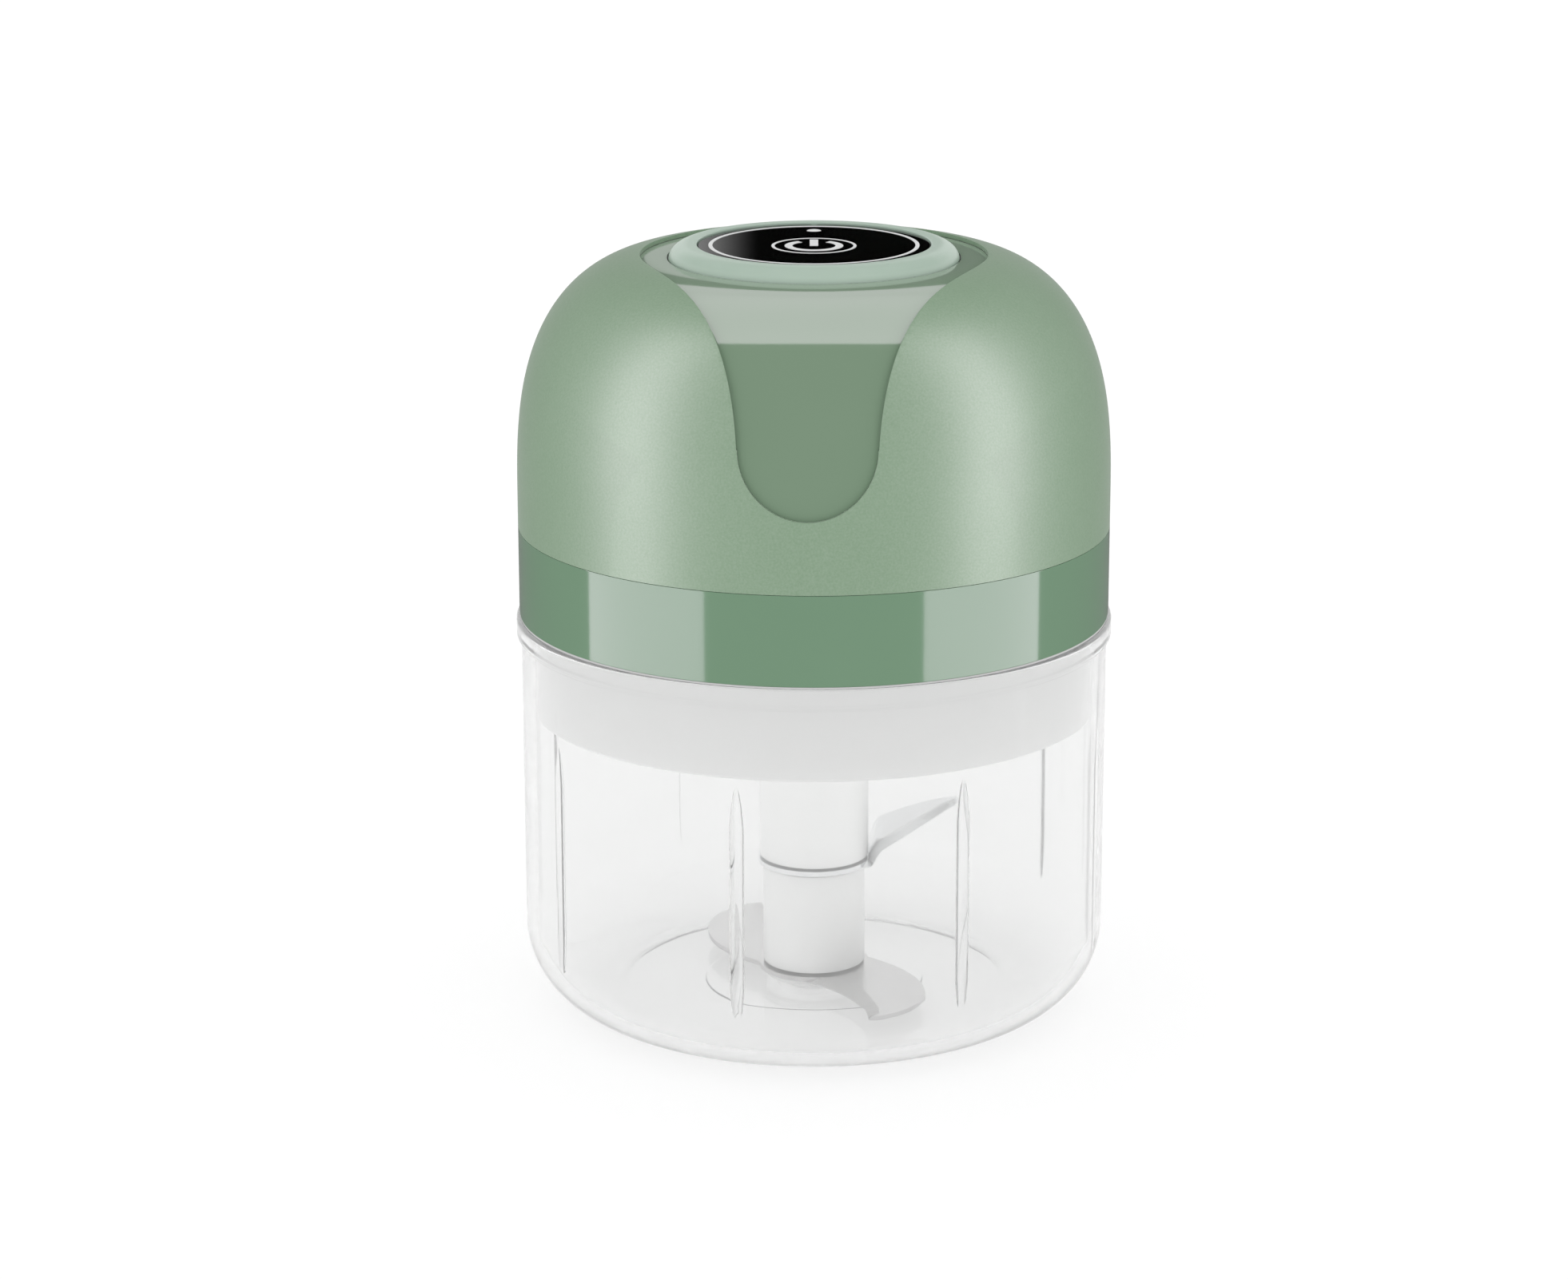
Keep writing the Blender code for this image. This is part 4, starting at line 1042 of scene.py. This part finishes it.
FLAG_FADE = (-0.034, -0.014)


def seen_in_gloss_only(thing):
    """Shows a thing of the stage in reflections and nowhere else."""
    thing.visible_camera = False
    thing.visible_diffuse = False
    thing.visible_transmission = False
    thing.visible_volume_scatter = False


def group_of(name, *pieces):
    """A collection of pieces that a light is kept to, or kept from."""
    group = bpy.data.collections.new(name)
    for piece in pieces:
        group.objects.link(piece)
    return group


def lamp(name, place, target, size, glow):
    """A rectangular lamp of an even brightness that faces a target."""
    bpy.ops.object.light_add(type="AREA", location=place)
    light = bpy.context.object
    light.name = name
    light.data.shape = "RECTANGLE"
    light.data.size, light.data.size_y = size
    light.data.energy = glow * math.pi * size[0] * size[1]
    light.data.color = LAMP_TINT
    light.rotation_euler = (Vector(target) - Vector(place)).to_track_quat("-Z", "Y").to_euler()
    return light


def lamp_pair(name, facing, roll, size, glow, lit):
    """Two upright lamps at the sides of the front, which shine on one group only."""
    out, ahead = math.sin(math.radians(facing)), math.cos(math.radians(facing))
    for side, word in ((-1, "left"), (1, "right")):
        target = (side * LAMP_TARGET[0], LAMP_TARGET[1], size[1] / 2)
        place = (target[0] + side * LAMP_AWAY * out, target[1] - LAMP_AWAY * ahead, target[2])
        light = lamp(f"{name}_{word}", place, target, size, glow)
        light.rotation_euler.rotate_axis("Z", -side * math.radians(roll))
        light.light_linking.receiver_collection = lit
        seen_in_gloss_only(light)


def glowing(tree, share, strength, colour=(1.0, 1.0, 1.0)):
    """A black surface that glows by a share of 0 to 1 of its strength."""
    surface(tree, {"Base Color": (0.0, 0.0, 0.0, 1.0), "Roughness": 1.0, "Specular IOR Level": 0.0,
                   "Emission Color": between(tree, share, (0.0, 0.0, 0.0), colour),
                   "Emission Strength": strength})


def position(tree, axis):
    """Where a point lies along one axis, in metres."""
    place = tree.node("ShaderNodeTexCoord", output="Object")
    return tree.node("ShaderNodeSeparateXYZ", sockets={"Vector": place}, output=axis)


def table_acrylic():
    """Pale acrylic that glows from within and has no shine."""
    material, tree = new_finish("table_acrylic")
    surface(tree, {"Base Color": (*TABLE_GREY, 1.0), "Roughness": 0.6, "Specular IOR Level": 0.0,
                   "Emission Color": (1.0, 1.0, 1.0, 1.0), "Emission Strength": TABLE_GLOW})
    return material


def flag_black():
    """Black card that fades to grey at its left end."""
    material, tree = new_finish("flag_black")
    fade = tree.node("ShaderNodeMapRange", {"interpolation_type": "SMOOTHSTEP"},
                     {"Value": position(tree, "X"), "From Min": FLAG_FADE[0], "From Max": FLAG_FADE[1],
                      "To Min": 1.0, "To Max": 0.0})
    glowing(tree, fade, FLAG_GREY)
    return material


def card_white():
    """A white card lit from the front, so that it dims towards the back."""
    material, tree = new_finish("card_white")
    y = position(tree, "Y")
    near, far = [share - y * loss for share, loss in (CARD_NEAR_FADE, CARD_FAR_FADE)]
    glowing(tree, tree.math("MAXIMUM", near, far), CARD_GLOW, LAMP_TINT)
    return material


def tent_white():
    """The tent's white, as bright as the room."""
    material, tree = new_finish("tent_white")
    glowing(tree, 1.0, ROOM_GLOW)
    material.cycles.emission_sampling = "NONE"
    return material


bpy.ops.object.select_all(action="DESELECT")
bpy.ops.mesh.primitive_plane_add(size=TABLE_SIZE, location=(0.0, 0.0, -TABLE_DROP))
table = bpy.context.object
table.name = "light_table"
table.data.materials.append(table_acrylic())
table.visible_glossy = False

bpy.ops.mesh.primitive_plane_add(size=1.0, location=FLAG_PLACE, rotation=(math.radians(90), 0.0, 0.0))
flag = bpy.context.object
flag.name = "black_flag"
flag.data.transform(((FLAG_SIZE[0], 0, 0, 0), (0, FLAG_SIZE[1], 0, 0), (0, 0, 1, 0), (0, 0, 0, 1)))
flag.data.materials.append(flag_black())
flag.visible_shadow = False
seen_in_gloss_only(flag)

lamp_pair("strip", STRIP_FACING, 0.0, STRIP_SIZE, STRIP_GLOW, group_of("on_band", band))
lamp_pair("tube", TUBE_FACING, TUBE_ROLL, TUBE_SIZE, TUBE_GLOW, group_of("on_shell", shell))

card_end = math.degrees(math.asin((CARD_BACK - CARD_MIDDLE) / CARD_R))
card_outline = arc((0.0, CARD_MIDDLE / MM), (CARD_R / MM, CARD_R / MM), 180 - card_end, 360 + card_end, 64)
card = draw("card", [(x, y, CARD_HEIGHT / MM) for x, y in card_outline + card_outline[:1]])
bpy.ops.mesh.edge_face_add()
bpy.ops.object.mode_set(mode="OBJECT")
card.data.materials.append(card_white())
card.visible_shadow = False
card.light_linking.receiver_collection = group_of("polished", housing)
seen_in_gloss_only(card)

bpy.ops.object.select_all(action="DESELECT")
bpy.ops.mesh.primitive_ico_sphere_add(subdivisions=4, radius=TENT_R)
tent = bpy.context.object
tent.name = "white_tent"
tent.data.materials.append(tent_white())
tent.visible_shadow = False
dark_room = group_of("dark_room", band, housing, shell, lens)
for member in dark_room.collection_objects:
    member.light_linking.link_state = "EXCLUDE"
tent.light_linking.receiver_collection = dark_room
seen_in_gloss_only(tent)

world = bpy.data.worlds.new("white_room")
world.use_nodes = True
background = world.node_tree.nodes["Background"]
background.inputs["Color"].default_value = (1.0, 1.0, 1.0, 1.0)
background.inputs["Strength"].default_value = ROOM_GLOW
world.cycles_visibility.glossy = False
bpy.context.scene.world = world
bpy.context.scene.view_settings.view_transform = "Standard"

bpy.ops.object.camera_add(location=CAMERA_PLACE, rotation=(math.radians(90 - CAMERA_TILT), 0.0, 0.0))
camera = bpy.context.object
camera.data.lens = CAMERA_LENS
camera.data.shift_x = CAMERA_SHIFT
bpy.context.scene.camera = camera
